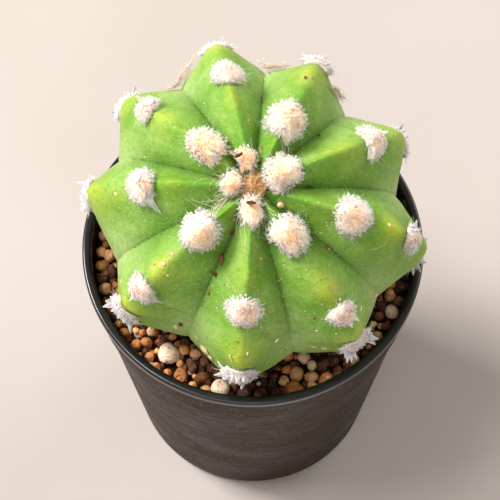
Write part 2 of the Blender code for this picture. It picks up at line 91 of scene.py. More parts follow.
# Plant
PLANT_MIDDLE = np.array([-0.0003, 0.0020, POT_HEIGHT + 0.0185])
LEAN_FORWARD_DEG = 18.2
LEAN_LEFT_DEG = -1.0
GIRTH = 0.0427
CROWN_RISE = 0.0321
UNDERSIDE_DROP = 0.0260
CROWN_DIP = 0.0030
CROWN_DIP_DEG = 13.0
RIB_AZIMUTHS = np.array([102.6, 64.3, 23.7, -14.7, -53.6, -94.7, -139.8, -184.0, -219.1])
RIB_GAIN = np.array([-0.018, -0.054, -0.017, 0.058, 0.050, 0.055, 0.018, -0.019, -0.027])
GAIN_POLAR = (24.0, 72.0, 115.0, 150.0)
FURROW_AZIMUTHS = np.array([84.2, 43.7, 3.4, -36.3, -74.4, -116.0, -157.4, -198.6, -238.7])
AHEAD_OF_RIB = (np.roll(FURROW_AZIMUTHS, 1) - RIB_AZIMUTHS) % 360
BEHIND_RIB = (RIB_AZIMUTHS - FURROW_AZIMUTHS) % 360
FURROW_GAIN = np.array([1.46, 1.65, 1.05, 0.60, 0.68, 1.06, 1.09, 1.24, 1.30])
FURROW_POLAR = (0.0, 12.0, 30.0, 60.0, 90.0, 120.0, 150.0, 180.0)
FURROW_DEPTH = (0.0, 0.115, 0.165, 0.150, 0.125, 0.090, 0.020, 0.0)
BELLY = 0.0001
CHIN_HEIGHT = 0.0014
CHIN_LEVEL = 0.35
CHIN_SKEW = 1.7
HIDDEN_AREOLE_STEP = 36.0
RELIEF_STARTS, RELIEF_ENDS, RELIEF_FADE = 9.0, 152.0, 30.0
RIDGE_ROUND = 0.22
RIDGE_SHARPEN = 0.04
BODY_LAST_POLAR = 151.0
ROOT_X, ROOT_Y = -0.0007, 0.0100
ROOT_PROFILE = ((0.0105, -0.0125), (0.0094, -0.0170), (0.0074, -0.0220), (0.0045, -0.0260))
ROOT_TIP = -0.0275
ROOT_ROOM = 0.0009
HOLE_RADIUS = 0.0145
HALVINGS = 22
SKIN_COLUMNS = 22
COLUMN_PACKING = 0.62
SKIN_ROWS = 170
FIRST_POLAR = 1.2
# The soft groove along each furrow, a narrow one in a broad one, as (depth, width) in mm
NARROW_GROOVE, BROAD_GROOVE = (0.20, 0.45), (0.32, 1.9)
GROOVE_STARTS = 10.0
# The skin's unevenness, coarse and fine, as (height, width) in mm
SKIN_WAVES = ((0.26, 9), (0.13, 2.6))
CREST_WIDTH = 0.34

# Areoles by rib, as polar angles from the crown outwards
AREOLE_POLAR = (
    (13.5, 53.8, 89.0, 121.0),
    (33.0, 82.5, 115.0),
    (14.3, 58.0, 91.0, 121.0),
    (43.0, 70.0, 98.0),
    (26.5, 62.5, 81.0),
    (11.0, 50.0, 80.0),
    (30.3, 63.3, 80.5),
    (10.3, 47.5, 91.0, 118.0),
    (27.8, 60.8, 90.0, 121.0),
)
CROWN_LIMIT = 20.0
# How pale the heart of a tuft is, where it isn't 1: below 1 the tan reaches further out.
PALE_HEARTS = {(9, 1): 0.45, (2, 1): 0.68, (7, 1): 0.9, (1, 1): 0.4, (3, 1): 0.85, (6, 1): 0.8, (8, 1): 0.45}
CROWN_TUFTS = {0: (0.0028, 0.0033), 2: (0.0052, 0.0052), 5: (0.0034, 0.0042), 7: (0.0031, 0.0034)}
TUFT_POLAR = (20.0, 45.0, 62.0, 90.0, 125.0)
TUFT_HALF_WIDTH = (0.0052, 0.0049, 0.0045, 0.0042, 0.0027)
TUFT_HALF_LENGTH = (0.0053, 0.0049, 0.0037, 0.0026, 0.0020)
TUFT_HEIGHT = (0.0036, 0.0033, 0.0025, 0.0014, 0.0010)
WOOL_GAP = 0.00015
HANG, CROWN_HANG = 0.55, 0.9
HAIRS_PER_SQUARE_MM = 32.0
HAIR_RADIUS = 0.000062
HAIR_STEPS = np.array([0.0, 0.5, 1.0])
STRAND_SIDES = 3
# Beyond this polar angle tufts have more hairs, which fan out less
OUTER_POLAR, OUTER_HAIRS, OUTER_FAN, FAN = 75.0, 1.25, 1.1, 1.5
HAIR_LENGTH_POLAR, HAIR_LENGTH_MM = (10, 30, 60, 90, 120), (1.2, 1.35, 1.15, 1.3, 1.1)
# The polar angles between which the wool turns from warm to lilac white
AGE_POLAR = (35.0, 80.0)
FELT_SIDES, FELT_RINGS = 84, 20
# Stray hairs a tuft, those of the third tufts, and the ones that rise from the third tufts' upper side
STRAY_HAIRS, THIRD_STRAY_HAIRS, UPWARD_HAIRS = 44, 24, 56
STRAY_RADIUS, UPWARD_RADIUS = 0.030 * MM, 0.055 * MM
# Hairs in each horn, and how many horns an outer tuft has that the photograph doesn't show
HORN_HAIRS, THIRD_HORN_HAIRS, HIDDEN_HORNS = 9, 30, 5
# The level felt over the crown (its lift in mm), and its edge as for EDGES
CROWN_FELT_LIFT, CROWN_FELT_RISE, CROWN_FELT_SEED = 0.8, 0.0009, 61
CROWN_FELT_HALF_WIDTH, CROWN_FELT_HALF_LENGTH = 0.0033, 0.0031
CROWN_FELT_EDGE = (100, 90, 120, 130, 110, 95, 120, 100, 80, 100, 110, 90)
CROWN_HAIRS, CROWN_STRAY_HAIRS = 1500, 90
# How far the wool's edge stands in percent of its oval, every 30 degrees from the rib's outward direction,
# by (rib, areole)
EDGES = {
    (1, 1): (80, 113, 125, 81, 72, 85, 97, 73, 68, 79, 112, 97),
    (1, 2): (110, 105, 89, 76, 62, 68, 97, 87, 91, 100, 110, 112),
    (2, 1): (112, 128, 125, 108, 100, 90, 110, 122, 98, 102, 118, 118),
    (3, 1): (96, 128, 118, 98, 90, 82, 88, 90, 96, 70, 80, 115),
    (3, 2): (105, 125, 122, 115, 71, 65, 72, 67, 113, 99, 97, 105),
    (4, 1): (100, 122, 128, 108, 84, 84, 106, 90, 90, 108, 122, 110),
    (4, 2): (108, 108, 85, 66, 66, 70, 66, 66, 66, 74, 87, 115),
    (5, 1): (76, 106, 118, 108, 102, 100, 116, 108, 112, 78, 82, 104),
    (5, 2): (104, 114, 87, 75, 72, 72, 84, 76, 81, 83, 75, 88),
    (6, 1): (103, 118, 118, 79, 74, 95, 97, 97, 94, 97, 106, 109),
    (6, 2): (85, 107, 112, 92, 74, 74, 79, 70, 72, 96, 112, 97),
    (7, 1): (86, 92, 98, 94, 98, 94, 98, 98, 112, 126, 128, 112),
    (7, 2): (84, 86, 93, 99, 85, 84, 98, 88, 87, 81, 89, 98),
    (8, 1): (82, 93, 105, 68, 60, 62, 85, 83, 105, 122, 130, 125),
    (8, 2): (92, 110, 116, 115, 84, 70, 68, 58, 58, 68, 102, 120),
    (9, 1): (90, 82, 66, 58, 66, 96, 108, 102, 110, 120, 128, 120),
    (9, 2): (112, 96, 66, 66, 71, 78, 64, 55, 58, 69, 115, 120),
}

# Tips of matted horns of wool by (rib, areole): outwards along the rib, across it and off it, in mm
HORNS = {
    (1, 3): ((0.3, 3.9, 0.3), (-0.2, -4.2, 1.1), (-0.5, -2.4, 3.3), (-0.3, 0.9, 3.0), (0.1, -3.1, -0.5)),
    (2, 1): ((-6.2, 0.7, 0.9), (-6.8, -0.3, 0.7), (-5.8, 1.7, 0.6), (-6.0, -1.4, 0.8)),
    (2, 2): ((-0.2, 5.3, 1.1), (-0.4, 4.3, -2.3), (0.1, -2.9, -2.0), (0.1, -3.5, 0.2), (0.2, -0.3, 3.6)),
    (3, 2): ((-2.6, 5.2, -1.2), (2.7, 0.7, 4.4), (-1.6, -4.6, -1.8)),
    (3, 3): ((-0.9, 4.0, 3.1), (-0.4, 0.2, 2.9), (0.5, -1.9, -0.4), (-0.6, 2.1, 2.9)),
    (4, 2): ((0.8, -4.4, 1.3), (1.1, -3.9, 1.9), (-0.7, 4.8, 1.1), (-0.8, 3.4, 0.5), (0.0, -3.7, 0.1)),
    (4, 3): ((0.6, -6.1, 1.7), (-0.3, -4.6, 3.2), (-1.0, -1.9, 3.8), (-1.2, 4.3, 2.2), (0.0, -4.3, 2.3)),
    (5, 2): ((3.1, -0.1, 3.8), (2.7, 2.3, 3.7)),
    (5, 3): (
        (0.4, -5.4, 0.4), (1.0, -5.3, 3.5), (1.0, -4.2, 4.1), (0.9, -2.7, 4.2), (0.0, 4.8, 3.4),
        (0.3, 3.3, 4.1), (-0.3, 4.5, 1.3), (0.7, -5.0, 2.2),
    ),
    (6, 3): (
        (-1.2, -5.6, -2.5), (0.1, -6.3, 1.0), (-1.0, 4.2, -1.6), (-0.1, 4.9, 0.9), (0.4, 3.0, 2.2),
        (1.1, 0.9, 4.0), (-1.3, -2.9, -2.7), (0.8, -2.0, 3.0), (0.2, -4.0, 2.0),
        (-2.6, -1.9, 3.4), (-3.0, -0.3, 3.6), (-2.7, 1.5, 3.3), (-1.6, -3.4, 2.6),
    ),
    (7, 2): ((2.7, 0.4, 3.7), (-1.3, 6.6, -1.1), (-0.7, 4.8, -0.3)),
    (7, 3): (
        (0.2, -4.0, 4.0), (-0.1, -4.7, 2.5), (-0.5, -4.8, 0.8), (0.9, 5.8, 2.7), (0.4, 4.6, 1.1),
        (0.4, 3.1, 1.8), (-0.2, -3.0, 1.3), (-2.8, -1.4, 3.4), (-2.7, 0.9, 3.4), (-1.8, 2.6, 2.8),
    ),
    (8, 2): ((-2.8, 7.2, -2.3), (-1.7, 6.1, -1.3), (-4.0, 8.1, -3.3)),
    (8, 3): ((-0.7, -3.2, 3.6), (-0.4, -4.2, -0.2), (0.4, 4.1, 2.4), (0.9, 4.5, -2.0), (-0.1, 0.3, 2.6)),
    (9, 1): ((-6.0, 0.0, 0.6), (-5.6, -1.4, 0.5), (-5.8, 1.2, 0.5)),
    (9, 2): ((2.4, -1.0, 4.8), (-1.5, -4.9, -0.3), (-0.6, 3.9, -0.6), (-1.4, 1.7, -1.4), (1.6, 2.2, 3.0)),
    (9, 3): ((-0.8, -6.1, 1.6), (0.2, 3.9, 2.3), (0.7, 3.6, -0.4), (-0.6, -2.4, 3.0), (-0.2, 1.6, 3.1)),
}

# Soil
SOIL_LEVEL = POT_HEIGHT - 0.0082
SOIL_GAP = 0.0003
SOIL_WALL_GAP = 0.0004
ROOT_HOLE_TIP_RADIUS = 0.0030
BOWL_GAP = 0.0006
BED_DROP = 0.0016
BED_SIDES, BED_RINGS = 96, 30
BED_WAVES, BED_WAVE_WIDTH = 0.5 * MM, 2.2 * MM

# Granules placed one by one as (x, y, radius, kind), in mm. The kinds are cream, white, mixed, ochre, glossy
# brown, pink, russet, brown and dark, by first letter.
GRANULES = (
    (-41.4, 6.7, 1.35, "m"), (-41.3, 1.6, 1.5, "o"), (-40.7, -6.2, 1.2, "d"), (-40.7, -2.5, 1.73, "o"),
    (-39.5, 3.6, 0.9, "r"), (-39.2, -9.1, 1.88, "m"), (-39.1, -12.9, 1.35, "b"), (-38.3, 0.5, 1.65, "m"),
    (-37.6, -15.0, 1.2, "o"), (-37.4, -4.1, 1.58, "b"), (-36.5, -8.0, 1.05, "r"), (-35.4, -19.4, 1.05, "o"),
    (-33.6, -21.5, 1.28, "o"), (-30.5, -25.1, 1.43, "o"), (-27.9, -24.4, 1.5, "g"), (-27.1, -28.6, 1.28, "o"),
    (-26.7, -21.3, 1.35, "w"), (-25.2, -31.4, 1.18, "o"), (-25.2, -27.0, 0.7, "p"), (-23.9, -23.6, 1.2, "b"),
    (-22.3, -33.3, 1.09, "o"), (-22.0, -28.1, 2.9, "c"), (-18.8, -33.9, 2.0, "r"), (-18.1, -26.7, 1.4, "o"),
    (-18.0, -24.2, 1.5, "d"), (-16.0, -31.3, 1.55, "d"), (-15.8, -36.8, 1.27, "o"), (-15.3, -34.2, 0.6, "p"),
    (-15.1, -27.8, 1.73, "w"), (-13.3, -34.8, 1.7, "b"), (-12.9, -30.2, 1.2, "d"), (-12.3, -37.9, 1.27, "o"),
    (-10.8, -32.0, 1.46, "d"), (-8.5, -37.6, 2.46, "c"), (-5.2, -40.3, 0.76, "o"), (-4.9, -36.6, 1.09, "d"),
    (-2.1, -39.0, 1.91, "d"), (2.0, -39.2, 2.0, "b"), (4.9, -36.4, 1.3, "d"), (5.8, -39.6, 1.6, "b"),
    (7.8, -35.6, 1.46, "w"), (8.6, -32.4, 1.18, "o"), (10.2, -38.3, 2.25, "g"), (11.3, -33.6, 2.0, "w"),
    (13.5, -36.6, 1.1, "d"), (14.9, -34.6, 1.75, "m"), (15.2, -31.4, 1.36, "w"), (15.6, -38.4, 1.6, "m"),
    (18.3, -31.3, 1.5, "d"), (18.8, -35.2, 2.0, "m"), (21.2, -30.3, 1.1, "d"), (21.2, -37.0, 0.91, "o"),
    (22.7, -35.3, 1.3, "b"), (21.9, -32.9, 1.3, "d"), (24.4, -32.8, 1.4, "d"), (24.4, -30.5, 1.1, "r"),
    (26.7, -29.7, 1.04, "o"), (27.3, -32.2, 1.4, "w"), (30.8, -21.6, 1.04, "r"), (31.6, -19.6, 0.87, "p"),
    (32.5, -23.2, 1.39, "m"), (33.1, -17.3, 1.39, "b"), (33.6, -14.6, 1.3, "d"), (34.9, -20.4, 1.48, "b"),
    (36.2, -11.3, 1.74, "m"), (36.8, -16.2, 1.9, "c"), (39.0, -13.0, 1.4, "d"), (39.6, -8.6, 1.5, "d"),
    (40.2, -5.4, 1.22, "d"), (39.7, 15.3, 1.13, "c"), (40.2, 12.5, 1.13, "m"),
)
GRANULE_SEED = 11
# The kinds of thrown granules, as often as they come
GRANULE_KINDS = "dddddddbbbbbrrooogmwc"
# Layers of thrown granules: lift over the soil, smallest and largest radius in mm, and how many are tried
GRANULE_LAYERS = ((0.35, 0.9, 1.9, 4200), (-1.5, 1.0, 1.7, 2600))
# Where each kind lies between the dark (0) and the light (1) tone of its sort
GRANULE_TONES = {
    "c": (0.75, 1.0), "w": (0.3, 0.6), "m": (0.0, 0.5), "o": (0.4, 1.0), "g": (0.1, 0.3), "p": (0.9, 1.0),
    "r": (0.5, 1.0), "b": (0.0, 0.5), "d": (0.0, 1.0),
}
# Sorts of granules: name, kinds, unevenness, dark, middle and light tone, roughness, depth of the grain
GRANULE_SORTS = (
    ("pale", "cwm", 0.18, (188, 120, 68), (226, 186, 142), (250, 229, 200), 0.62, 0.00027),
    ("ochre", "ogp", 0.24, (140, 80, 40), (206, 132, 68), (240, 184, 116), 0.55, 0.00036),
    ("brown", "rb", 0.38, (78, 44, 28), (136, 82, 48), (196, 126, 76), 0.80, 0.00063),
    ("dark", "d", 0.44, (62, 38, 28), (100, 64, 46), (144, 96, 68), 0.85, 0.00072),
)

# Yellow and scorched patches of the skin: azimuth, polar, half width and half length in degrees, strength
BLUSHES = (
    (-52.0, 50.0, 6.0, 9.0, 0.45), (-94.1, 65.3, 3.0, 11.0, 0.6), (-140.5, 48.3, 3.5, 6.0, 0.6),
    (-179.8, 61.8, 4.0, 6.0, 0.6), (179.4, 68.7, 4.0, 5.0, 0.5), (-13.9, 57.7, 3.5, 6.5, 0.6),
    (26.9, 35.9, 2.5, 7.0, 0.4), (138.3, 53.1, 3.5, 6.0, 0.5), (-52.9, 82.2, 4.0, 5.0, 0.6),
    (65.3, 58.5, 3.0, 6.0, 0.3), (-138.9, 76.9, 3.0, 5.0, 0.6),
)
SCORCHES = (
    (-141.2, 46.6, 1.4, 4.5, 1.0), (-143.3, 52.9, 1.6, 1.6, 0.8), (27.4, 33.9, 1.3, 7.0, 0.7),
    (138.3, 37.5, 1.6, 3.0, 0.6), (-51.1, 53.6, 2.2, 3.0, 0.7), (-43.4, 78.3, 6.0, 1.2, 0.5),
    (-99.5, 27.0, 1.2, 5.0, 0.7), (65.9, 58.8, 2.0, 4.0, 0.6), (-57.8, 79.0, 4.0, 1.0, 0.7),
    (101.5, 49.6, 1.2, 6.0, 0.4),
)
# Dry scabs (azimuth, polar, length, width in mm) and russet specks (azimuth, polar, size in mm)
SCABS = (
    (-80.6, 68.9, 1.3, 0.8), (-112.3, 80.8, 1.4, 0.5), (-67.4, 81.3, 2.0, 0.7), (-63.9, 83.2, 1.8, 1.0),
    (-121.6, 80.6, 2.8, 1.1), (-134.9, 80.9, 1.2, 0.9), (-87.7, 44.2, 0.5, 0.4), (-100.4, 44.7, 0.6, 0.4),
    (-92.2, 66.7, 0.9, 0.6),
    (-77.1, 64.5, 0.8, 0.4), (-64.7, 69.3, 0.8, 0.5), (-58.8, 56.1, 0.4, 0.3), (-51.4, 57.5, 0.7, 0.6),
    (-141.1, 43.9, 0.6, 0.6), (-140.9, 48.5, 1.2, 0.5), (-135.4, 51.3, 0.6, 0.4), (-129.8, 55.0, 0.3, 0.3),
    (-107.9, 83.7, 2.6, 1.9), (179.3, 62.1, 0.9, 0.8), (-165.5, 71.8, 0.6, 0.3), (-148.0, 76.9, 1.4, 0.5),
    (-132.4, 84.4, 0.5, 0.3), (-13.7, 57.3, 1.1, 0.9), (0.9, 77.7, 2.2, 0.5), (-44.7, 71.5, 0.5, 0.4),
    (-43.2, 78.0, 0.8, 0.6), (-51.1, 58.0, 0.6, 0.5), (-58.8, 71.0, 0.5, 0.4), (-43.1, 70.4, 0.4, 0.3),
    (94.3, 32.5, 0.5, 0.4), (155.1, 29.0, 0.4, 0.3), (-24.3, 36.4, 0.3, 0.3), (-32.0, 39.0, 0.4, 0.3),
    (-84.6, 32.3, 0.9, 0.4), (-97.9, 69.7, 2.0, 0.4), (-86.8, 59.5, 0.9, 0.3), (-45.9, 70.5, 1.5, 0.7),
    (-36.5, 85.0, 1.2, 0.7), (-39.0, 83.5, 1.0, 0.6), (-37.3, 82.7, 1.4, 0.6), (-105.1, 85.3, 1.4, 1.1),
)
SPECKS = (
    (-107.1, 46.1, 0.5), (-110.8, 49.9, 0.3), (-80.7, 36.9, 0.3), (-95.2, 57.4, 0.5), (-96.4, 62.3, 0.5),
    (-93.7, 62.8, 0.5), (-77.7, 79.1, 0.4), (-63.9, 62.7, 0.9), (-67.3, 61.6, 0.3), (-53.7, 46.2, 0.3),
    (-143.5, 52.6, 0.4), (-120.2, 77.2, 1.3), (-127.5, 83.3, 0.5), (160.8, 39.9, 0.5), (41.4, 46.7, 1.0),
    (17.5, 26.9, 0.5), (-173.4, 72.5, 0.4), (-170.0, 70.9, 0.4), (-167.7, 39.9, 0.3), (-139.3, 74.3, 0.6),
    (-135.0, 81.9, 1.2), (-141.1, 71.2, 0.4), (-58.0, 79.2, 0.9), (-26.2, 57.8, 0.4), (65.9, 58.8, 0.8),
    (-27.6, 28.6, 0.5), (63.0, 60.9, 0.5), (-133.5, 85.0, 0.7), (98.5, 46.4, 0.4), (122.4, 30.4, 0.4),
)
# Crumbs lying in the furrows (azimuth, polar, length, width in mm)
FURROW_CRUMBS = (
    (-114.8, 38.4, 2.6, 1.1), (-114.7, 45.9, 1.3, 0.8), (-118.4, 45.4, 0.6, 0.5), (-114.2, 55.3, 1.0, 0.6),
    (-115.3, 60.5, 0.6, 0.5), (-75.6, 18.2, 1.2, 0.9), (-75.6, 35.7, 0.6, 0.5), (-74.1, 45.8, 0.7, 0.5),
    (4.0, 28.2, 1.0, 0.6), (-123.0, 17.8, 1.0, 0.8), (-117.2, 24.3, 1.6, 0.8), (-37.4, 46.3, 0.9, 0.5),
    (-36.9, 51.4, 0.8, 0.5), (-156.6, 51.6, 0.5, 0.4), (-35.3, 20.7, 0.9, 0.8),
)
# Thrown grit: specks a furrow, on the whole skin, and a tuft
FURROW_GRIT, SKIN_GRIT, TUFT_GRIT = 17, 150, 7
# Two dark seed husks on the crown's wool: rib, share from the tuft's top to its edge, turn, axes in mm
SEED_HUSKS = (
    (5, 0.25, 3.6, ((1.35, -0.25, 0.1), (0.14, 0.55, 0.0), (0.0, 0.0, 0.42))),
    (0, 0.75, 0.9, ((1.15, 0.5, 0.3), (-0.2, 0.44, 0.0), (0.0, 0.0, 0.4))),
)
# Dry flakes round the crown: azimuth, polar, length, width, thickness in mm, turn, tone
FLAKES = (
    (148.3, 12.8, 2.6, 1.1, 0.30, 0.6, 0.1), (126.6, 15.6, 3.0, 1.6, 0.35, 1.4, 0.9),
    (110.7, 12.9, 2.4, 1.5, 0.30, 2.2, 0.8), (93.6, 17.2, 2.2, 1.0, 0.25, 0.2, 1.0),
    (78.8, 15.9, 1.6, 1.2, 0.30, 1.0, 0.7), (138.3, 18.1, 2.0, 0.9, 0.25, 2.8, 0.5),
    (-28.6, 15.2, 1.5, 1.4, 1.30, 0.0, 1.0), (-30.7, 20.7, 1.0, 0.8, 0.70, 0.4, 0.2),
)
THREAD_STEPS = 12
COBWEB_RADIUS = 0.050 * MM
# Cobweb hairs round the crown: from (azimuth, polar) to (azimuth, polar), and how many
COBWEBS = (
    (196.0, 12.0, 203.0, 22.0, 9), (-118.0, 12.0, -112.0, 21.0, 7), (-75.0, 14.0, -80.0, 22.0, 6),
    (160.0, 18.0, 178.0, 20.0, 6), (-140.0, 19.0, -160.0, 27.0, 7), (60.0, 26.0, 40.0, 22.0, 4),
    (-60.0, 12.0, -48.0, 19.0, 4), (-165.0, 14.0, -150.0, 24.0, 6),
)
# Fine threads stuck to the skin: points as (azimuth, polar), and a tone from pale (0) to rust (1)
THREADS = (
    (((-128.7, 69.7), (-127.5, 68.7), (-125.2, 68.5), (-122.1, 68.9)), 1.0),
    (((-18.1, 59.3), (-22.1, 60.3), (-24.6, 59.1), (-26.2, 57.8)), 0.0),
    (((-86.8, 59.5), (-85.5, 61.5), (-84.0, 62.3)), 0.8),
    (((-84.5, 65.2), (-83.2, 67.2), (-81.6, 68.1)), 0.8),
    (((57.0, 39.8), (51.3, 43.8), (46.4, 49.5)), 0.9),
)

# Dried flower stalks: (azimuth, polar angle, turn from the rib's direction, length)
DRIED_FLOWERS = (
    (121.5, 79.0, -62.0, 0.0105),
    (79.0, 80.0, 72.0, 0.0085),
    (52.5, 78.0, -30.0, 0.0080),
)
FLOWER_RADIUS = 0.0007
FLOWER_GAP = 0.0004
FLOWER_START = 0.35
FLOWER_ARCH = 0.0008
FLOWER_RISE = 0.0020
FLOWER_BEND = 0.0012
# The stalks' thickness and their height over the skin as shares of the solids'
STALK_THINNESS, STALK_LOWNESS = 0.36, 0.6
STALK_SIDES, STALK_RINGS, STALK_FIBRES = 18, 44, 90
FIBRE_RADIUS = 0.042 * MM

# Soft lights: name, place, what they face, size, power and colour
LIGHTS = (
    ("window", (-2.86, 1.16, 3.30), (0.0, 0.0, 0.10), 1.50, 335.0, (1.0, 0.968, 0.962)),
    ("skylight", (-1.60, -0.10, 4.10), (-0.02, 0.0, 0.09), 1.00, 90.0, (1.0, 0.97, 0.95)),
    ("side", (2.60, 2.00, 2.20), (0.0, 0.0, 0.10), 2.40, 76.0, (1.0, 0.98, 0.96)),
    ("front", (-0.60, -3.00, 3.00), (0.0, 0.0, 0.08), 2.80, 46.0, (1.0, 0.985, 0.96)),
)
SKY_COLOUR, SKY_STRENGTH = (1.0, 0.975, 0.90, 1.0), 0.45

# View
LENS_MM, SENSOR_MM = 149.76, 36.0
CAMERA_TARGET = np.array([-0.000761, 0.0, 0.0885])
CAMERA_DISTANCE = 0.55065
CAMERA_RISE_DEG = 64.372
CAMERA_ROLL_DEG = -0.24


# Arrays and meshes


def unit(vectors):
    """The vectors scaled to length 1."""
    return vectors / np.maximum(np.linalg.norm(vectors, axis=-1, keepdims=True), 1e-12)


def full_turn(count):
    """The angles of a full circle in even steps."""
    return np.arange(count) * (2 * math.pi / count)


def bowed(start, knee, end, t):
    """Curves from start to end, drawn towards a knee on the way: the quadratic curve at shares t."""
    return start * (1 - t) ** 2 + knee * 2 * t * (1 - t) + end * t**2


def circle(turn, radius, height, x=0.0, y=0.0):
    """Points round a level circle."""
    return np.stack([x + radius * np.cos(turn), y + radius * np.sin(turn), np.full_like(turn, height)], 1)


def wander(points, size, seed):
    """A smooth random field from -1 to 1: values drawn at the corners of cubes of a size, eased between."""
    cell = np.floor(points / size).astype(np.int64)
    part = points / size - cell
    part = part * part * (3.0 - 2.0 * part)
    total = np.zeros(points.shape[:-1])
    for corner in np.ndindex(2, 2, 2):
        at = cell + np.array(corner)
        key = at[..., 0] * 73856093 ^ at[..., 1] * 19349663 ^ at[..., 2] * 83492791 ^ seed * 26544357
        key = ((key ^ (key >> 13)) * 1274126177) & 0x7FFFFFFF
        value = ((key ^ (key >> 15)) & 0xFFFF) / 32767.5 - 1.0
        weight = np.where(np.array(corner) == 1, part, 1.0 - part).prod(-1)
        total += value * weight
    return total


def lofted(rings, first, last, rising=False):
    """Closed surfaces over rings (surface, ring, place, xyz) with a fan of triangles at each end.

    Rings run downwards and turn anticlockwise as seen from the first end, or run upwards if rising is set.
    """
    many, rows, sides, _ = rings.shape
    points = np.concatenate([first[:, None], rings.reshape(many, rows * sides, 3), last[:, None]], 1)
    place = np.arange(sides)
    after = (place + 1) % sides
    row = np.arange(rows - 1)[:, None] * sides + 1
    quads = np.stack([row + place, row + sides + place, row + sides + after, row + after], -1).reshape(-1, 4)
    low = 1 + (rows - 1) * sides
    top = np.stack([np.zeros_like(place), 1 + place, 1 + after], -1)
    bottom = np.stack([np.full_like(place, 1 + rows * sides), low + after, low + place], -1)
    triangles = np.concatenate([top, bottom])
    if rising:
        quads, triangles = quads[:, ::-1], triangles[:, ::-1]
    step = np.arange(many)[:, None, None] * (rows * sides + 2)
    return points.reshape(-1, 3), (quads + step).reshape(-1, 4), (triangles + step).reshape(-1, 3)


def ring_marks(values, sides):
    """Values (surface, ring end to end) spread over the points that lofted() makes."""
    return np.concatenate([values[:, :1], np.repeat(values[:, 1:-1], sides, 1), values[:, -1:]], 1).ravel()


def strand_marks(by_strand, by_step):
    """The product of a value of each strand and a value of each step, over the points of strands()."""
    return ring_marks(np.outer(by_strand, by_step), STRAND_SIDES)


def strands(paths, radii):
    """Round strands carried along paths (strand, step, xyz), each drawn to a point at both ends."""
    ahead = unit(np.gradient(paths, axis=1))
    reach = np.abs(paths[:, -1] - paths[:, 0])
    helper = np.eye(3)[np.argmin(reach, 1)][:, None]
    aside = unit(np.cross(helper, ahead))
    over = np.cross(ahead, aside)
    turn = full_turn(STRAND_SIDES)
    spoke = np.cos(turn)[:, None] * aside[:, 1:-1, None] + np.sin(turn)[:, None] * over[:, 1:-1, None]
    rings = paths[:, 1:-1, None] + spoke * radii[:, 1:-1, None, None]
    return lofted(rings, paths[:, 0], paths[:, -1], rising=True)


def ball(level):
    """Points and triangles of a ball of radius 1 made of even triangles."""
    work = bmesh.new()
    bmesh.ops.create_icosphere(work, subdivisions=level, radius=1.0)
    points = np.array([tuple(v.co) for v in work.verts])
    triangles = np.array([[v.index for v in f.verts] for f in work.faces])
    work.free()
    return points, triangles


def random_turns(draw, count):
    """Sets of three unit axes turned at random."""
    axes = np.linalg.qr(draw.normal(0, 1, (count, 3, 3)))[0]
    return axes * np.sign(np.linalg.det(axes))[:, None, None]


def lumps(places, axes, rough, level, seed):
    """Uneven balls: a ball swollen and dented by a wandering field, stretched to each place's three axes."""
    form, triangles = ball(level)
    shift = np.random.default_rng(seed).uniform(-40, 40, (len(places), 1, 3))
    swell = 1.0 + rough * wander(form + shift, 0.9, seed)
    swell = swell + rough * 0.55 * wander(form + shift, 0.38, seed + 1)
    points = np.einsum("nvk,nkj->nvj", form * swell[..., None], axes) + places[:, None]
    step = np.arange(len(places))[:, None, None] * len(form)
    return points.reshape(-1, 3), np.zeros((0, 4), int), (triangles + step).reshape(-1, 3)


def joined(parts):
    """Several sets of (points, quads, triangles) as one."""
    starts = np.cumsum([0] + [len(points) for points, _, _ in parts[:-1]])
    points = np.concatenate([part[0] for part in parts])
    quads = np.concatenate([part[1] + start for part, start in zip(parts, starts)])
    triangles = np.concatenate([part[2] + start for part, start in zip(parts, starts)])
    return points, quads, triangles


def placed(name, data):
    """A new object of the scene."""
    made = bpy.data.objects.new(name, data)
    bpy.context.scene.collection.objects.link(made)
    return made


def piece(name, shape, finish, replaced=(), marks=None):
    """Puts points, quads and triangles into a smooth mesh, with its marks as attributes, and fixes it."""
    points, quads, triangles = shape
    mesh = bpy.data.meshes.new(name)
    mesh.vertices.add(len(points))
    mesh.vertices.foreach_set("co", points.astype(np.float32).ravel())
    corners = np.concatenate([quads.ravel(), triangles.ravel()]).astype(np.int32)
    sizes = np.concatenate([np.full(len(quads), 4), np.full(len(triangles), 3)])
    mesh.loops.add(len(corners))
    mesh.loops.foreach_set("vertex_index", corners)
    mesh.polygons.add(len(sizes))
    mesh.polygons.foreach_set("loop_start", np.concatenate([[0], np.cumsum(sizes)[:-1]]).astype(np.int32))
    mesh.polygons.foreach_set("use_smooth", np.ones(len(sizes), bool))
    mesh.update(calc_edges=True)
    for label, values in (marks or {}).items():
        layer = mesh.attributes.new(label, "FLOAT", "POINT")
        layer.data.foreach_set("value", np.asarray(values, np.float32))
    mesh.materials.append(finish)
    return fixed(placed(name, mesh), replaced)


def fixed(made, replaced=()):
    """Ties an object to the root and the nodes that it stands for."""
    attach(made, "root")
    if replaced:
        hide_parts(*replaced)
    return made


def lumpy_piece(name, places, axes, form, tone, finish):
    """Fixes a piece of many lumps, each with its own tone. Its form is (unevenness, level, seed)."""
    shape = lumps(places, axes, *form)
    piece(name, shape, finish, marks={"tone": np.repeat(tone, len(shape[0]) // len(places))})


# Form of the plant


def plant_axes():
    """The plant's three unit axes in world space: across, away from the front, and up its leaning stem."""
    up = np.array([-math.sin(math.radians(LEAN_LEFT_DEG)), -math.sin(math.radians(LEAN_FORWARD_DEG)), 0.0])
    up[2] = math.sqrt(1.0 - up @ up)
    across = unit(np.array([1.0, 0.0, 0.0]) - up * up[0])
    return np.stack([across, np.cross(up, across), up])


AXES = plant_axes()


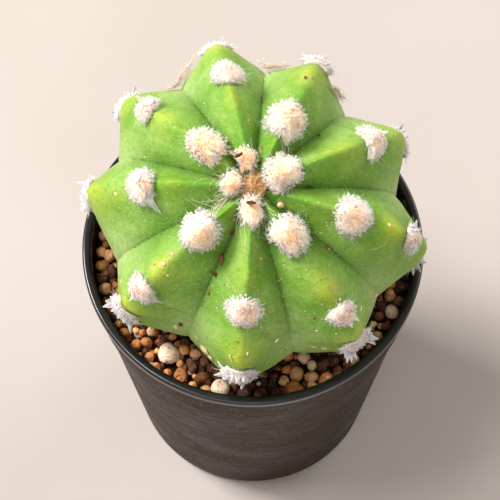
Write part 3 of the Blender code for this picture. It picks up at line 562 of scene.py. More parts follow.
def spheroid(polar):
    """Reach from the plant's middle to the rounded form over the ridges, dipped at the crown."""
    height = np.where(np.cos(polar) > 0, CROWN_RISE, UNDERSIDE_DROP)
    reach = 1.0 / np.sqrt((np.sin(polar) / GIRTH) ** 2 + (np.cos(polar) / height) ** 2)
    return reach - CROWN_DIP * np.exp(-((np.degrees(polar) / CROWN_DIP_DEG) ** 2))


def gain_share(polar_deg):
    """How far the gains are at work: eased in from the crown, and out again towards the root."""
    start, full, still, end = GAIN_POLAR
    rise = np.clip((polar_deg - start) / (full - start), 0, 1)
    fall = np.clip((end - polar_deg) / (end - still), 0, 1)
    return rise**2 * (3 - 2 * rise) * fall**2 * (3 - 2 * fall)


def rib_place(azimuth):
    """For azimuths in degrees: the rib, the angle from its ridge, and the rib's half width on that side."""
    off = (np.asarray(azimuth)[..., None] - RIB_AZIMUTHS + 180) % 360 - 180
    half = np.where(off > 0, AHEAD_OF_RIB, BEHIND_RIB)
    rib = np.argmin(np.abs(off) / half, -1)
    picked = rib[..., None]
    return rib, np.take_along_axis(off, picked, -1)[..., 0], np.take_along_axis(half, picked, -1)[..., 0]


def chin(rib, polar_deg):
    """0 at an areole, rising to 1 on the ridge between two areoles, a little past half way outwards."""
    share = np.zeros_like(polar_deg)
    for k, angles in enumerate(AREOLE_POLAR):
        beyond = [angles[-1] + HIDDEN_AREOLE_STEP, angles[-1] + 2 * HIDDEN_AREOLE_STEP]
        ladder = np.array([angles[0] - HIDDEN_AREOLE_STEP, *angles, *beyond])
        along = np.interp(polar_deg, ladder, np.arange(len(ladder)))
        share = np.where(rib == k, along % 1.0, share)
    return np.sin(math.pi * share**CHIN_SKEW) ** 2


def body_reach(polar, azimuth_deg):
    """Reach from the plant's middle to its skin: the straight line from each ridge to its furrow, rounded
    over the ridge, swollen a little, raised into a chin between areoles, and faded out at both poles. Every
    rib has its own gain in reach, and every furrow its own gain in depth."""
    polar_deg = np.degrees(polar)
    rib, off, half = rib_place(azimuth_deg)
    relief = np.clip(polar_deg / RELIEF_STARTS, 0, 1) ** 1.5
    relief = relief * np.clip((RELIEF_ENDS - polar_deg) / RELIEF_FADE, 0, 1)
    swell = chin(rib, polar_deg)
    gain = gain_share(polar_deg)
    ridge = spheroid(polar) * (1.0 + RIB_GAIN[rib] * gain) + CHIN_HEIGHT * (swell - CHIN_LEVEL) * relief
    deeper = 1.0 + (FURROW_GAIN[np.where(off > 0, rib - 1, rib)] - 1.0) * gain
    furrow = spheroid(polar) * (1.0 - np.interp(polar_deg, FURROW_POLAR, FURROW_DEPTH) * deeper)
    round_off = RIDGE_ROUND - RIDGE_SHARPEN * swell
    share = np.abs(off) / half
    eased = (np.sqrt(share**2 + round_off**2) - round_off) / (np.sqrt(1 + round_off**2) - round_off)
    angle, width = np.radians(eased * half), np.radians(half)
    chord = ridge * furrow * np.sin(width) / (ridge * np.sin(angle) + furrow * np.sin(width - angle))
    return chord + BELLY * np.sin(math.pi * eased) * relief


def plant_point(reach, polar, azimuth_deg):
    """World points at a reach from the plant's middle in the direction of the two angles."""
    turn = np.radians(azimuth_deg)
    local = np.stack([np.sin(polar) * np.cos(turn), np.sin(polar) * np.sin(turn), np.cos(polar)], -1)
    return (local * np.asarray(reach)[..., None]) @ AXES + PLANT_MIDDLE


def skin_point(polar_deg, azimuth_deg, lift=0.0):
    """World points on the skin, or a lift off it, in the direction of the two angles."""
    polar = np.radians(np.asarray(polar_deg, float))
    azimuth = np.asarray(azimuth_deg, float)
    return plant_point(body_reach(polar, azimuth) + lift, polar, azimuth)


def plant_angles(points):
    """Reach, polar angle and azimuth (degrees) of world points, seen from the plant's middle."""
    local = (points - PLANT_MIDDLE) @ AXES.T
    reach = np.linalg.norm(local, axis=-1)
    polar = np.arccos(np.clip(local[..., 2] / np.maximum(reach, 1e-9), -1, 1))
    return reach, polar, np.degrees(np.arctan2(local[..., 1], local[..., 0]))


def on_skin(points):
    """Where the lines from the plant's middle through the points leave the skin."""
    _, polar, azimuth = plant_angles(points)
    return plant_point(body_reach(polar, azimuth), polar, azimuth)


def clear_of_skin(points, gap):
    """The points, those under the skin (or nearer than the gap) moved straight out of it."""
    reach, polar, azimuth = plant_angles(points)
    return plant_point(np.maximum(reach, body_reach(polar, azimuth) + gap), polar, azimuth)


def ridge_frame(polar_deg, azimuth_deg):
    """A skin point, its outward normal, and the tangents along the rib (outwards) and across it."""
    here, before, after = skin_point([polar_deg, polar_deg - 4.0, polar_deg + 4.0], [azimuth_deg] * 3)
    along = unit(after - before)
    turn = math.radians(azimuth_deg)
    across = np.array([-math.sin(turn), math.cos(turn), 0.0]) @ AXES
    return here, unit(np.cross(along, across)), along, across


def skin_axes(polar_deg, azimuth_deg):
    """The skin's tangents and normal (as rows) at many places, from points a short way to each side."""
    near = 0.4
    along = skin_point(polar_deg + near, azimuth_deg) - skin_point(polar_deg - near, azimuth_deg)
    across = skin_point(polar_deg, azimuth_deg + near) - skin_point(polar_deg, azimuth_deg - near)
    normal = unit(np.cross(along, across))
    along = unit(along)
    return np.stack([along, np.cross(normal, along), normal], 1)


def under_plant(x, y):
    """Height of the plant's underside above each place, found by halving, or 1 m beside the plant."""
    low = np.full(np.shape(x), SOIL_LEVEL - UNDERSIDE_DROP)
    high = np.full(np.shape(x), PLANT_MIDDLE[2])

    def inside(height):
        reach, polar, azimuth = plant_angles(np.stack([x, y, height], -1))
        return reach < body_reach(polar, azimuth)

    beside = ~inside(high)
    for _ in range(HALVINGS):
        middle = (low + high) / 2
        hit = inside(middle)
        high = np.where(hit, middle, high)
        low = np.where(hit, low, middle)
    return np.where(beside, 1.0, high)


# Shader parts


def tint(colour):
    """An sRGB colour of whole numbers as the linear colour that the shaders take."""
    share = np.array(colour) / 255.0
    linear = np.where(share <= 0.04045, share / 12.92, ((share + 0.055) / 1.055) ** 2.4)
    return (*[float(v) for v in linear], 1.0)


def fill(tree, socket, value):
    """Links a shader value to a socket, or sets the socket to a plain value."""
    if isinstance(value, bpy.types.NodeSocket):
        tree.links.new(value, socket)
    else:
        socket.default_value = value


def node(tree, kind, inputs=None, **settings):
    """Adds a shader node, sets it up, and fills its sockets with values or links."""
    made = tree.nodes.new("ShaderNode" + kind)
    for key, value in settings.items():
        setattr(made, key, value)
    for key, value in (inputs or {}).items():
        fill(tree, made.inputs[key], value)
    return made


def worked(tree, operation, *values):
    """The outcome of a sum on shader values."""
    return node(tree, "Math", dict(enumerate(values)), operation=operation).outputs[0]


def spread(tree, value, low, high, start=0.0, end=1.0):
    """The value from low to high made to run from start to end, and held there."""
    inputs = {"Value": value, "From Min": low, "From Max": high, "To Min": start, "To Max": end}
    return node(tree, "MapRange", inputs).outputs[0]


def blended(tree, share, under, over, mode="MIX"):
    inputs = {0: share, 6: under, 7: over}
    return node(tree, "Mix", inputs, data_type="RGBA", blend_type=mode).outputs[2]


def group(name, inputs, result):
    """A shader group with number inputs. Returns its tree, its input sockets and its result's socket."""
    tree = bpy.data.node_groups.new(name, "ShaderNodeTree")
    for label, start in inputs.items():
        socket = tree.interface.new_socket(name=label, in_out="INPUT", socket_type="NodeSocketFloat")
        socket.default_value = start
    tree.interface.new_socket(name=result, in_out="OUTPUT", socket_type="NodeSocketFloat")
    return tree, tree.nodes.new("NodeGroupInput").outputs, tree.nodes.new("NodeGroupOutput").inputs[result]


def patches_group():
    """Soft patches: noise in object space between a low and a high cut."""
    tree, take, mask = group("patches", {"Scale": 100.0, "Low": 0.4, "High": 0.6, "Flatten": 1.0}, "Mask")
    place = node(tree, "TexCoord").outputs["Object"]
    squash = node(tree, "CombineXYZ", {0: 1.0, 1: 1.0, 2: take["Flatten"]}).outputs[0]
    place = node(tree, "VectorMath", {0: place, 1: squash}, operation="MULTIPLY").outputs[0]
    settings = {"Vector": place, "Scale": take["Scale"], "Detail": 3.0, "Roughness": 0.55}
    noise = node(tree, "TexNoise", settings).outputs[0]
    fill(tree, mask, spread(tree, noise, take["Low"], take["High"]))
    return tree


def flecks_group():
    """Small dots: cells in object space, a share of them kept, each with a round soft dot in it."""
    tree, take, mask = group("flecks", {"Scale": 700.0, "Radius": 0.2, "Keep": 0.5}, "Mask")
    place = node(tree, "TexCoord").outputs["Object"]
    cells = node(tree, "TexVoronoi", {"Vector": place, "Scale": take["Scale"]}).outputs
    core = worked(tree, "MULTIPLY", take["Radius"], 0.6)
    dot = spread(tree, cells["Distance"], core, take["Radius"], 1.0, 0.0)
    draw = node(tree, "SeparateColor", {0: cells["Color"]}).outputs[0]
    fill(tree, mask, worked(tree, "MULTIPLY", dot, worked(tree, "LESS_THAN", draw, take["Keep"])))
    return tree


def grain_group():
    """Surface grain: two sizes of noise in object space added up."""
    tree, take, height = group("grain", {"Scale": 1500.0, "Fine": 0.5}, "Height")
    place = node(tree, "TexCoord").outputs["Object"]
    coarse = node(tree, "TexNoise", {"Vector": place, "Scale": take["Scale"], "Detail": 2.0}).outputs[0]
    finer = worked(tree, "MULTIPLY", take["Scale"], 3.1)
    fine = node(tree, "TexNoise", {"Vector": place, "Scale": finer, "Detail": 2.0}).outputs[0]
    fill(tree, height, worked(tree, "MULTIPLY_ADD", fine, take["Fine"], coarse))
    return tree


PATCHES, FLECKS, GRAIN = patches_group(), flecks_group(), grain_group()


def shared(tree, made_group, **values):
    """Places a shared group with its own values and returns its output."""
    made = tree.nodes.new("ShaderNodeGroup")
    made.node_tree = made_group
    for key, value in values.items():
        made.inputs[key].default_value = value
    return made.outputs[0]


class Paint:
    """A finish being laid on, colour over colour, with short names for the shader parts in it."""

    def __init__(self, name, roughness, specular, colour=None):
        self.made = bpy.data.materials.new(name)
        self.made.use_nodes = True
        self.tree = self.made.node_tree
        self.colour = colour and tint(colour)
        self.set({"Roughness": roughness, "Specular IOR Level": specular})

    def set(self, values):
        """Sets or links sockets of the surface."""
        for label, value in values.items():
            fill(self.tree, self.tree.nodes["Principled BSDF"].inputs[label], value)

    def mark(self, label):
        """A value carried by the mesh's points."""
        return node(self.tree, "Attribute", attribute_name=label).outputs["Fac"]

    def patches(self, scale, low, high, flatten=1.0):
        return shared(self.tree, PATCHES, Scale=scale, Low=low, High=high, Flatten=flatten)

    def flecks(self, scale, radius, keep):
        return shared(self.tree, FLECKS, Scale=scale, Radius=radius, Keep=keep)

    def grain(self, scale, fine):
        return shared(self.tree, GRAIN, Scale=scale, Fine=fine)

    def spread(self, value, low, high, start=0.0, end=1.0):
        return spread(self.tree, value, low, high, start, end)

    def worked(self, operation, *values):
        return worked(self.tree, operation, *values)

    def times(self, total, *values):
        """The product of all the values."""
        for value in values:
            total = self.worked("MULTIPLY", total, value)
        return total

    def ramp(self, value, *stops):
        """A run of colours, each given as (place, colour)."""
        made = node(self.tree, "ValToRGB", {"Fac": value})
        band = made.color_ramp
        while len(band.elements) < len(stops):
            band.elements.new(0.5)
        for element, (place, colour) in zip(band.elements, stops):
            element.position = place
            element.color = tint(colour)
        return made.outputs["Color"]

    def over(self, share, colour, part=1.0):
        """Lays a colour over the one so far, as far as the share goes, or a part of it."""
        share = share if part == 1.0 else self.times(share, part)
        colour = tint(colour) if isinstance(colour, tuple) else colour
        self.colour = blended(self.tree, share, self.colour, colour)

    def done(self, height=None, depth=0.0, strength=1.0):
        """Links the colour, and the height as a bump of some depth, and returns the finish."""
        self.set({"Base Color": self.colour})
        if height is not None:
            bump = node(self.tree, "Bump", {"Height": height, "Distance": depth, "Strength": strength})
            self.set({"Normal": bump.outputs[0]})
        return self.made


# Finishes


def skin_finish():
    """Waxy green skin: paler flanks, fresh green ridges, yellow chins with painted highlight, painted shade in
    furrows, dots, corky marks.
    """
    paint = Paint("cactus_skin_finish", 0.5, 0.24, (98, 140, 35))
    crease, crest, swell, low = (paint.mark(label) for label in ("crease", "crest", "chin", "low"))
    paint.over(paint.patches(115.0, 0.36, 0.66), (140, 171, 84))
    mottle = paint.patches(420.0, 0.35, 0.70)
    paint.over(mottle, (91, 138, 28), 0.45)
    older = paint.spread(low, 0.42, 0.72, 0.0, 0.5)
    paint.over(older, (126, 154, 57))
    fresh = paint.times(crest, paint.spread(low, 0.42, 0.10, 0.0, 0.85))
    paint.over(fresh, (73, 132, 4))
    # The yellow on the chins is partly the skin's own colour and partly a painted highlight on the most convex
    # part of the ridge; the blushes are the skin's own yellow.
    yellow = paint.times(crest, paint.worked("POWER", swell, 2.0), paint.spread(low, 0.14, 0.40, 0.1, 0.55))
    yellow = paint.worked("ADD", yellow, paint.times(paint.mark("blush"), 0.5))
    yellow = paint.times(yellow, paint.spread(mottle, 0.0, 1.0, 0.7, 1.15))
    paint.over(paint.worked("MINIMUM", yellow, 0.9), (184, 189, 48))
    outer = paint.spread(low, 0.36, 0.50)
    inner = paint.worked("SUBTRACT", 1.0, outer)
    paint.over(paint.times(outer, 0.7, paint.spread(crease, 0.35, 0.9)), (160, 182, 116))
    # Painted shade: the flanks darken towards the inner furrows, and darkest in the crease itself.
    paint.over(paint.times(inner, 0.7, paint.spread(crease, 0.50, 1.0)), (62, 100, 20))
    paint.over(paint.times(inner, paint.spread(crease, 0.95, 1.0, 0.0, 0.7)), (44, 72, 16))
    paint.over(paint.patches(1700.0, 0.38, 0.66), (135, 177, 90), 0.26)
    paint.over(paint.patches(760.0, 0.44, 0.66), (70, 124, 26), 0.30)
    paint.over(paint.flecks(1000.0, 0.15, 0.40), (206, 220, 140), 0.55)
    paint.over(paint.flecks(560.0, 0.13, 0.55), (186, 205, 138), 0.6)
    scorch = paint.times(paint.mark("scorch"), paint.patches(900.0, 0.46, 0.56))
    paint.over(scorch, (197, 159, 113))
    paint.over(paint.flecks(260.0, 0.07, 0.20), (128, 75, 41))
    chalk = paint.flecks(330.0, 0.10, 0.26)
    paint.over(chalk, (212, 203, 157), 0.95)
    paint.set({
        "Roughness": paint.spread(mottle, 0.0, 1.0, 0.42, 0.58), "Subsurface Weight": 0.12,
        "Subsurface Radius": (0.5, 1.0, 0.2), "Subsurface Scale": 0.0015,
    })
    height = paint.worked("MULTIPLY_ADD", chalk, 1.4, paint.grain(1300.0, 0.8))
    return paint.done(paint.worked("MULTIPLY_ADD", scorch, 0.8, height), 0.00022)


def wool_finish():
    """Felted wool: white hair ends over tan roots in painted shade, warm at heart, lilac-white at the rim with
    age.
    """
    paint = Paint("areole_wool_finish", 0.9, 0.15)
    rim, tip, tone, age = (paint.mark(label) for label in ("rim", "tip", "tone", "age"))
    young = ((0.0, (252, 212, 168)), (0.35, (255, 240, 220)), (0.7, (255, 250, 246)), (1.0, (255, 253, 252)))
    old = ((0.0, (255, 226, 204)), (0.4, (255, 239, 232)), (0.75, (255, 247, 247)), (1.0, (255, 253, 254)))
    wool = blended(paint.tree, age, paint.ramp(rim, *young), paint.ramp(rim, *old))
    # The root colour is the wool times a warm tint: painted shade deep among the hairs, also laid on the felt
    # and on random darker strands.
    shade = blended(paint.tree, age, tint((255, 230, 204)), tint((255, 230, 222)))
    root = paint.colour = blended(paint.tree, 1.0, wool, shade, "MULTIPLY")
    paint.over(paint.spread(tip, 0.05, 0.6), wool)
    paint.over(paint.spread(tone, 0.6, 1.0, 0.0, 0.3), root)
    paint.set({"Subsurface Weight": 1.0, "Subsurface Radius": (1.0, 0.9, 0.8), "Subsurface Scale": 0.0012})
    return paint.done()


def crown_felt_finish():
    """Old felt pressed between the youngest areoles: tan and brown, with paler hair ends."""
    paint = Paint("crown_felt_finish", 0.95, 0.15, (190, 136, 78))
    paint.over(paint.patches(700.0, 0.35, 0.65), (234, 192, 130))
    paint.over(paint.spread(paint.mark("tip"), 0.2, 1.0, 0.0, 0.7), (240, 218, 184))
    return paint.done(paint.grain(2600.0, 0.8), 0.0002, 0.8)


def crumb_finish(name, dark, light):
    """Dry crumbs: two tones picked by each crumb's own value, mottled and grained."""
    paint = Paint(name, 0.85, 0.3, dark)
    paint.over(paint.mark("tone"), light)
    paint.over(paint.patches(1500.0, 0.4, 0.62), dark, 0.45)
    return paint.done(paint.grain(2200.0, 0.7), 0.0002, 0.8)


def thread_finish():
    """Thin threads: pale to rust by each thread's own value, mottled."""
    paint = Paint("thread_finish", 0.8, 0.3, (238, 232, 214))
    paint.over(paint.mark("tone"), (196, 116, 58))
    paint.over(paint.patches(1200.0, 0.4, 0.62), (190, 150, 110), 0.3)
    return paint.done()


def stalk_finish():
    """Withered flower stalk: tan paper streaked lengthwise, darker in its pleats."""
    paint = Paint("dried_stalk_finish", 0.85, 0.25, (206, 172, 146))
    paint.over(paint.patches(900.0, 0.38, 0.64), (240, 221, 204))
    paint.over(paint.mark("pleat"), (172, 128, 100), 0.4)
    paint.over(paint.spread(paint.mark("tip"), 0.6, 1.0, 0.0, 0.6), (240, 224, 208))
    return paint.done(paint.grain(2000.0, 0.7), 0.0003, 0.9)


def granule_finish(name, dark, middle, light, roughness, depth):
    """Clay or pumice granule: its own tone, stained in patches, dusty in patches, pitted all over."""
    paint = Paint(name, roughness, 0.35)
    paint.colour = paint.ramp(paint.mark("tone"), (0.0, dark), (0.5, middle), (1.0, light))
    paint.over(paint.patches(430.0, 0.50, 0.66), dark, 0.65)
    paint.over(paint.patches(900.0, 0.54, 0.74), light, 0.6)
    pits = paint.flecks(1500.0, 0.34, 0.35)
    paint.over(pits, (52, 32, 24), 0.55)
    return paint.done(paint.worked("SUBTRACT", paint.grain(1100.0, 0.6), paint.times(pits, 0.6)), depth)


def soil_finish():
    """Dark moist soil with browner clods."""
    paint = Paint("soil_bed_finish", 0.95, 0.2, (34, 22, 16))
    paint.over(paint.patches(600.0, 0.40, 0.62), (74, 46, 32))
    return paint.done(paint.grain(900.0, 0.7), 0.0006)


def pot_finish():
    """Black plastic under brown dust: streaky on the wall, sparse on the lip, specked and scratched."""
    paint = Paint("pot_plastic_finish", 0.5, 0.14, (14, 8, 5))
    lip = paint.mark("lip")
    streak = paint.patches(120.0, 0.34, 0.72, 5.0)
    dust = paint.patches(34.0, 0.30, 0.72, 2.2)
    dust = paint.worked("MULTIPLY_ADD", dust, 0.30, paint.times(streak, 0.28))
    dust = paint.worked("ADD", dust, paint.times(paint.patches(900.0, 0.36, 0.70), 0.18))
    dust = paint.times(dust, paint.spread(lip, 0.0, 1.0, 1.0, 0.06))
    dust = paint.times(dust, paint.spread(paint.mark("inside"), 0.0, 1.0, 1.0, 0.35))
    paint.over(lip, (9, 10, 13))
    paint.over(dust, (64, 44, 31))
    specks = paint.times(paint.flecks(650.0, 0.19, 0.24), paint.spread(lip, 0.0, 0.6, 0.7, 0.1))
    paint.over(specks, (150, 118, 88))
    one_side, other_side = paint.patches(60.0, 0.495, 0.50, 14.0), paint.patches(60.0, 0.505, 0.51, 14.0)
    scratch = paint.worked("SUBTRACT", one_side, other_side)
    scratch = paint.times(scratch, paint.spread(streak, 0.0, 1.0, 0.2, 0.9))
    paint.over(paint.times(scratch, paint.spread(lip, 0.0, 0.5, 1.0, 0.0)), (128, 102, 78))
    paint.set({
        "Roughness": paint.spread(dust, 0.0, 0.6, 0.28, 0.68), "Coat Weight": paint.times(lip, 0.7),
        "Coat Roughness": 0.16,
    })
    return paint.done(paint.worked("MULTIPLY_ADD", specks, 1.5, paint.grain(1300.0, 0.5)), 0.00004, 0.5)


def floor_finish():
    """A plain warm grey floor, faintly clouded."""
    paint = Paint("floor_finish", 0.85, 0.2, (161, 152, 145))
    paint.over(paint.patches(9.0, 0.3, 0.7), (167, 159, 153))
    return paint.done()


# Plant


def skin_marks(polar_deg, azimuth_deg, places):
    """Soft oval patches: each falls off as a bell in both angles, and the strongest one counts."""
    total = np.zeros(np.broadcast(polar_deg, azimuth_deg).shape)
    for azimuth, polar, wide, long, strength in places:
        off = (azimuth_deg - azimuth + 180) % 360 - 180
        total = np.maximum(total, strength * np.exp(-((off / wide) ** 2) - ((polar_deg - polar) / long) ** 2))
    return total


def make_skin(finish):
    """The ribbed globe on a grid of polar angle and azimuth, with columns packed at ridges and furrows.

    To the plain form it adds a soft groove along each furrow and two sizes of gentle unevenness.
    """
    step = np.arange(-SKIN_COLUMNS, SKIN_COLUMNS) / SKIN_COLUMNS
    share = step - COLUMN_PACKING * np.sin(2 * math.pi * step) / (2 * math.pi)
    off_ridge = np.where(share > 0, share * AHEAD_OF_RIB[:, None], share * BEHIND_RIB[:, None])
    azimuth = np.sort((RIB_AZIMUTHS[:, None] + off_ridge).ravel() % 360)[None]
    polar_deg = np.linspace(FIRST_POLAR, BODY_LAST_POLAR, SKIN_ROWS)[:, None]
    polar, around = np.broadcast_arrays(np.radians(polar_deg), azimuth)
    reach = body_reach(polar, around)
    plain = plant_point(reach, polar, around)
    rib, off, half = rib_place(around)
    relief = np.clip(polar_deg / GROOVE_STARTS, 0, 1) * np.clip((RELIEF_ENDS - polar_deg) / RELIEF_FADE, 0, 1)
    from_furrow = np.radians(half - np.abs(off)) * np.sin(polar) * reach
    grooves = (NARROW_GROOVE, BROAD_GROOVE)
    narrow, broad = (depth * np.exp(-((from_furrow / (width * MM)) ** 2)) for depth, width in grooves)
    groove = narrow + broad * np.clip((95 - polar_deg) / 30, 0.2, 1)
    reach = reach - groove * MM * relief
    coarse, fine = (
        height * MM * wander(plain, width * MM, 3 + k) for k, (height, width) in enumerate(SKIN_WAVES)
    )
    rings = plant_point(reach + relief * (coarse + fine), polar, around)
    turn = np.radians(azimuth[0])
    root = [circle(turn, radius, POT_HEIGHT + drop, ROOT_X, ROOT_Y) for radius, drop in ROOT_PROFILE]
    rings = np.concatenate([rings, np.array(root)])
    tip = np.array([[ROOT_X, ROOT_Y, POT_HEIGHT + ROOT_TIP]])

    def over_grid(values, crown_value):
        ends = np.full(len(ROOT_PROFILE) * len(turn) + 1, values[-1].mean())
        return np.concatenate([[crown_value], np.broadcast_to(values, polar.shape).ravel(), ends])

    share = np.abs(off) / half
    # The crease mark runs from the ridge (0) to the furrow (1); the skin's finish paints shade along it near
    # the crown.
    marks = {
        "crease": over_grid(np.where(polar_deg > 4, share, 0.5), 0.5),
        "crest": over_grid(np.exp(-((share / CREST_WIDTH) ** 2)), 0.5),
        "chin": over_grid(chin(rib, np.broadcast_to(polar_deg, share.shape)), 0.0),
        "low": over_grid(polar_deg / 150.0, 0.0),
        "blush": over_grid(skin_marks(polar_deg, azimuth, BLUSHES), 0.0),
        "scorch": over_grid(skin_marks(polar_deg, azimuth, SCORCHES), 0.0),
    }
    shape = lofted(rings[None], skin_point([0.0], [0.0]), tip)
    piece("cactus_skin", shape, finish, ("cactus_body",), marks)


class Tuft:
    """One areole's wool: a low dome on the ridge, given by a share from its top to its edge and a turn."""

    def __init__(self, frame, half_width, half_length, rise, hang, edge, seed):
        self.here, self.normal, self.along, self.across = frame
        self.half_width, self.half_length, self.rise, self.hang = half_width, half_length, rise, hang
        self.edge, self.seed = np.array([*edge, edge[0]]) / 100.0, seed

    def reach(self, turn):
        """From the middle to the edge: the oval, scaled by the edge's own shape and two small waves."""
        shape = np.interp(np.degrees(turn) % 360, np.linspace(0, 360, len(self.edge)), self.edge)
        shape = shape + 0.03 * np.sin(7 * turn + self.seed) + 0.025 * np.sin(13 * turn + 2.3 * self.seed)
        out = (shape * self.half_length * np.cos(turn))[..., None] * self.along
        return out + (shape * self.half_width * np.sin(turn))[..., None] * self.across

    def at(self, share, turn, part=1.0):
        """A point over the skin: part of a steep dome, whose foot hangs between the ridge and the skin."""
        spot = self.here + self.reach(turn) * np.asarray(share)[..., None]
        foot = on_skin(spot)
        drop = np.maximum((spot - foot) @ self.normal, 0.0)
        height = self.hang * drop + self.rise * (1.0 - np.minimum(share, 1.0) ** 2.6) ** 0.6
        return foot + self.normal * (WOOL_GAP + height * part)[..., None]


def felt(tuft, part=0.8):
    """The closed felt dome under the hairs, from its top over the edge to its flat foot, lumpy on top."""
    turn = full_turn(FELT_SIDES)
    shares = 0.9 * np.sin(np.linspace(0.06, 0.5 * math.pi, FELT_RINGS))[:, None]
    share, around = np.broadcast_arrays(shares, turn)
    top = tuft.at(share, around, part)
    swell = 0.34 * MM * wander(top, 1.1 * MM, tuft.seed) + 0.20 * MM * wander(top, 0.5 * MM, tuft.seed + 9)
    top = top + tuft.normal * (np.maximum(swell, -0.2 * MM) * (1.0 - 0.6 * share))[..., None]
    under_share, around = np.broadcast_arrays(np.array([0.84, 0.5])[:, None], turn)
    rings = np.concatenate([top, tuft.at(under_share, around, 0.0)])
    peak, foot = (tuft.at(np.zeros(1), np.zeros(1), level) for level in (part, 0.0))
    rim = np.concatenate([[0.0], share.ravel(), under_share.ravel(), [0.0]])
    return lofted(rings[None], peak, foot), rim


def hairs(tuft, count, length, draw, fan):
    """Short hairs all over the dome and thicker round its edge, the tips of neighbours run together."""
    at_edge = draw.uniform(0.82, 1.0, count)
    share = np.where(np.arange(count) % 4 == 0, at_edge, np.sqrt(draw.uniform(0, 1, count)))
    turn = draw.uniform(0, 2 * math.pi, count)
    root = tuft.at(share * 0.95, turn, 0.76 - 0.5 * np.maximum(share - 0.8, 0) * draw.uniform(0, 5, count))
    outward = unit(tuft.reach(turn))
    lean = (fan * share**1.5)[:, None]
    heads = max(count // 8, 2)
    head = root[draw.integers(0, count, heads)]
    owner = np.argmin(((root[:, None] - head[None]) ** 2).sum(-1), 1)
    pull = unit(draw.normal(0, 1, (heads, 3)))[owner] * 0.45
    own = unit(draw.normal(0, 1, (count, 3))) * 0.25
    heading = unit(tuft.normal * np.cos(lean) + outward * np.sin(lean) + pull + own)
    long = (length * draw.uniform(0.6, 1.3, heads)[owner] * draw.uniform(0.8, 1.15, count))[:, None]
    tip = root + heading * long
    shared_tip = np.zeros((heads, 3))
    np.add.at(shared_tip, owner, tip)
    shared_tip = shared_tip / np.maximum(np.bincount(owner, minlength=heads), 1)[:, None]
    pull = np.where(share > 0.8, 0.85, 0.7)[:, None]
    tip = tip * (1 - pull) + shared_tip[owner] * pull
    knee = root + heading * long * 0.55 + unit(draw.normal(0, 1, (count, 3))) * long * 0.12
    paths = bowed(root[:, None], knee[:, None], tip[:, None], HAIR_STEPS[None, :, None])
    radii = HAIR_RADIUS * draw.uniform(0.7, 1.35, count)[:, None] * (1.0 - 0.6 * HAIR_STEPS)
    tone = draw.uniform(0, 1, heads)[owner] * 0.6 + draw.uniform(0, 1, count) * 0.4
    return strands(clear_of_skin(paths, 0.06 * MM), radii), share, tone


def horns(tuft, tips, draw, hairs_each):
    """Matted horns: hairs that start spread over the felt on a tip's side and run together into that tip."""
    t = np.linspace(0, 1, 7)
    sets = []
    for along, across, lift in tips:
        tip = tuft.here + (tuft.along * along + tuft.across * across + tuft.normal * lift) * MM
        turn = math.atan2(across / tuft.half_width, along / tuft.half_length)
        spot = draw.normal(0, 1, (hairs_each, 2))
        root = tuft.at(np.clip(0.66 + 0.13 * spot[:, 0], 0.1, 0.9), turn + 0.16 * spot[:, 1], 0.7)
        end = tip + draw.normal(0, 0.09 * MM, (hairs_each, 3))
        end = end + (root - end) * draw.uniform(0.0, 0.3, (hairs_each, 1)) ** 1.5
        knee = (root + end) / 2 + tuft.normal * 0.35 * MM + draw.normal(0, 0.12 * MM, (hairs_each, 3))
        sets.append(bowed(root[:, None], knee[:, None], end[:, None], t[None, :, None]))
    paths = clear_of_skin(np.concatenate(sets), 0.05 * MM)
    radii = HAIR_RADIUS * draw.uniform(0.9, 1.5, len(paths))[:, None] * (1.0 - 0.65 * t**1.5)
    return strands(paths, radii), t, draw.uniform(0.0, 0.4, len(paths))


def stray_hairs(tuft, count, draw, upward=False):
    """Long thin hairs that leave the edge, or only its upper side, and wander off just above the skin."""
    t = np.linspace(0, 1, 9)
    turn = draw.normal(math.pi, 0.75, count) if upward else draw.uniform(0, 2 * math.pi, count)
    root = tuft.at(np.full(count, 0.9), turn, 0.6)
    outward = unit(tuft.reach(turn))
    long = draw.uniform(1.4, 3.4, count) * MM
    side = np.cross(tuft.normal, outward)
    sway = draw.normal(0, 0.32, (count, 1)) * t**2 + 0.12 * np.sin(5 * t + draw.uniform(0, 6, (count, 1)))
    lift = draw.uniform(0.0, 0.5, (count, 1)) * t - 0.35 * t**2
    paths = outward[:, None] * t[None, :, None] + side[:, None] * sway[..., None]
    paths = root[:, None] + (paths + tuft.normal * lift[..., None]) * long[:, None, None]
    radii = (UPWARD_RADIUS if upward else STRAY_RADIUS) * (1.0 - 0.6 * np.broadcast_to(t, (count, 9)))
    return strands(clear_of_skin(paths, 0.08 * MM), radii), t, draw.uniform(0.0, 0.5, count)


def wool_tuft(rib, row):
    """The tuft of one areole: its sizes follow the polar angle, or its own size near the crown."""
    polar, azimuth = AREOLE_POLAR[rib][row], RIB_AZIMUTHS[rib]
    tables = (TUFT_HALF_WIDTH, TUFT_HALF_LENGTH, TUFT_HEIGHT)
    width, length, rise = (float(np.interp(polar, TUFT_POLAR, sizes)) for sizes in tables)
    young = polar < CROWN_LIMIT
    if young:
        width, length = CROWN_TUFTS[rib]
        rise *= (width + length) / (TUFT_HALF_WIDTH[0] + TUFT_HALF_LENGTH[0])
    edge = EDGES.get((rib + 1, row + 1), (100,) * 12)
    hang = CROWN_HANG if young else HANG
    return Tuft(ridge_frame(polar, azimuth), width, length, rise, hang, edge, 17 * rib + 5 * row + 3)


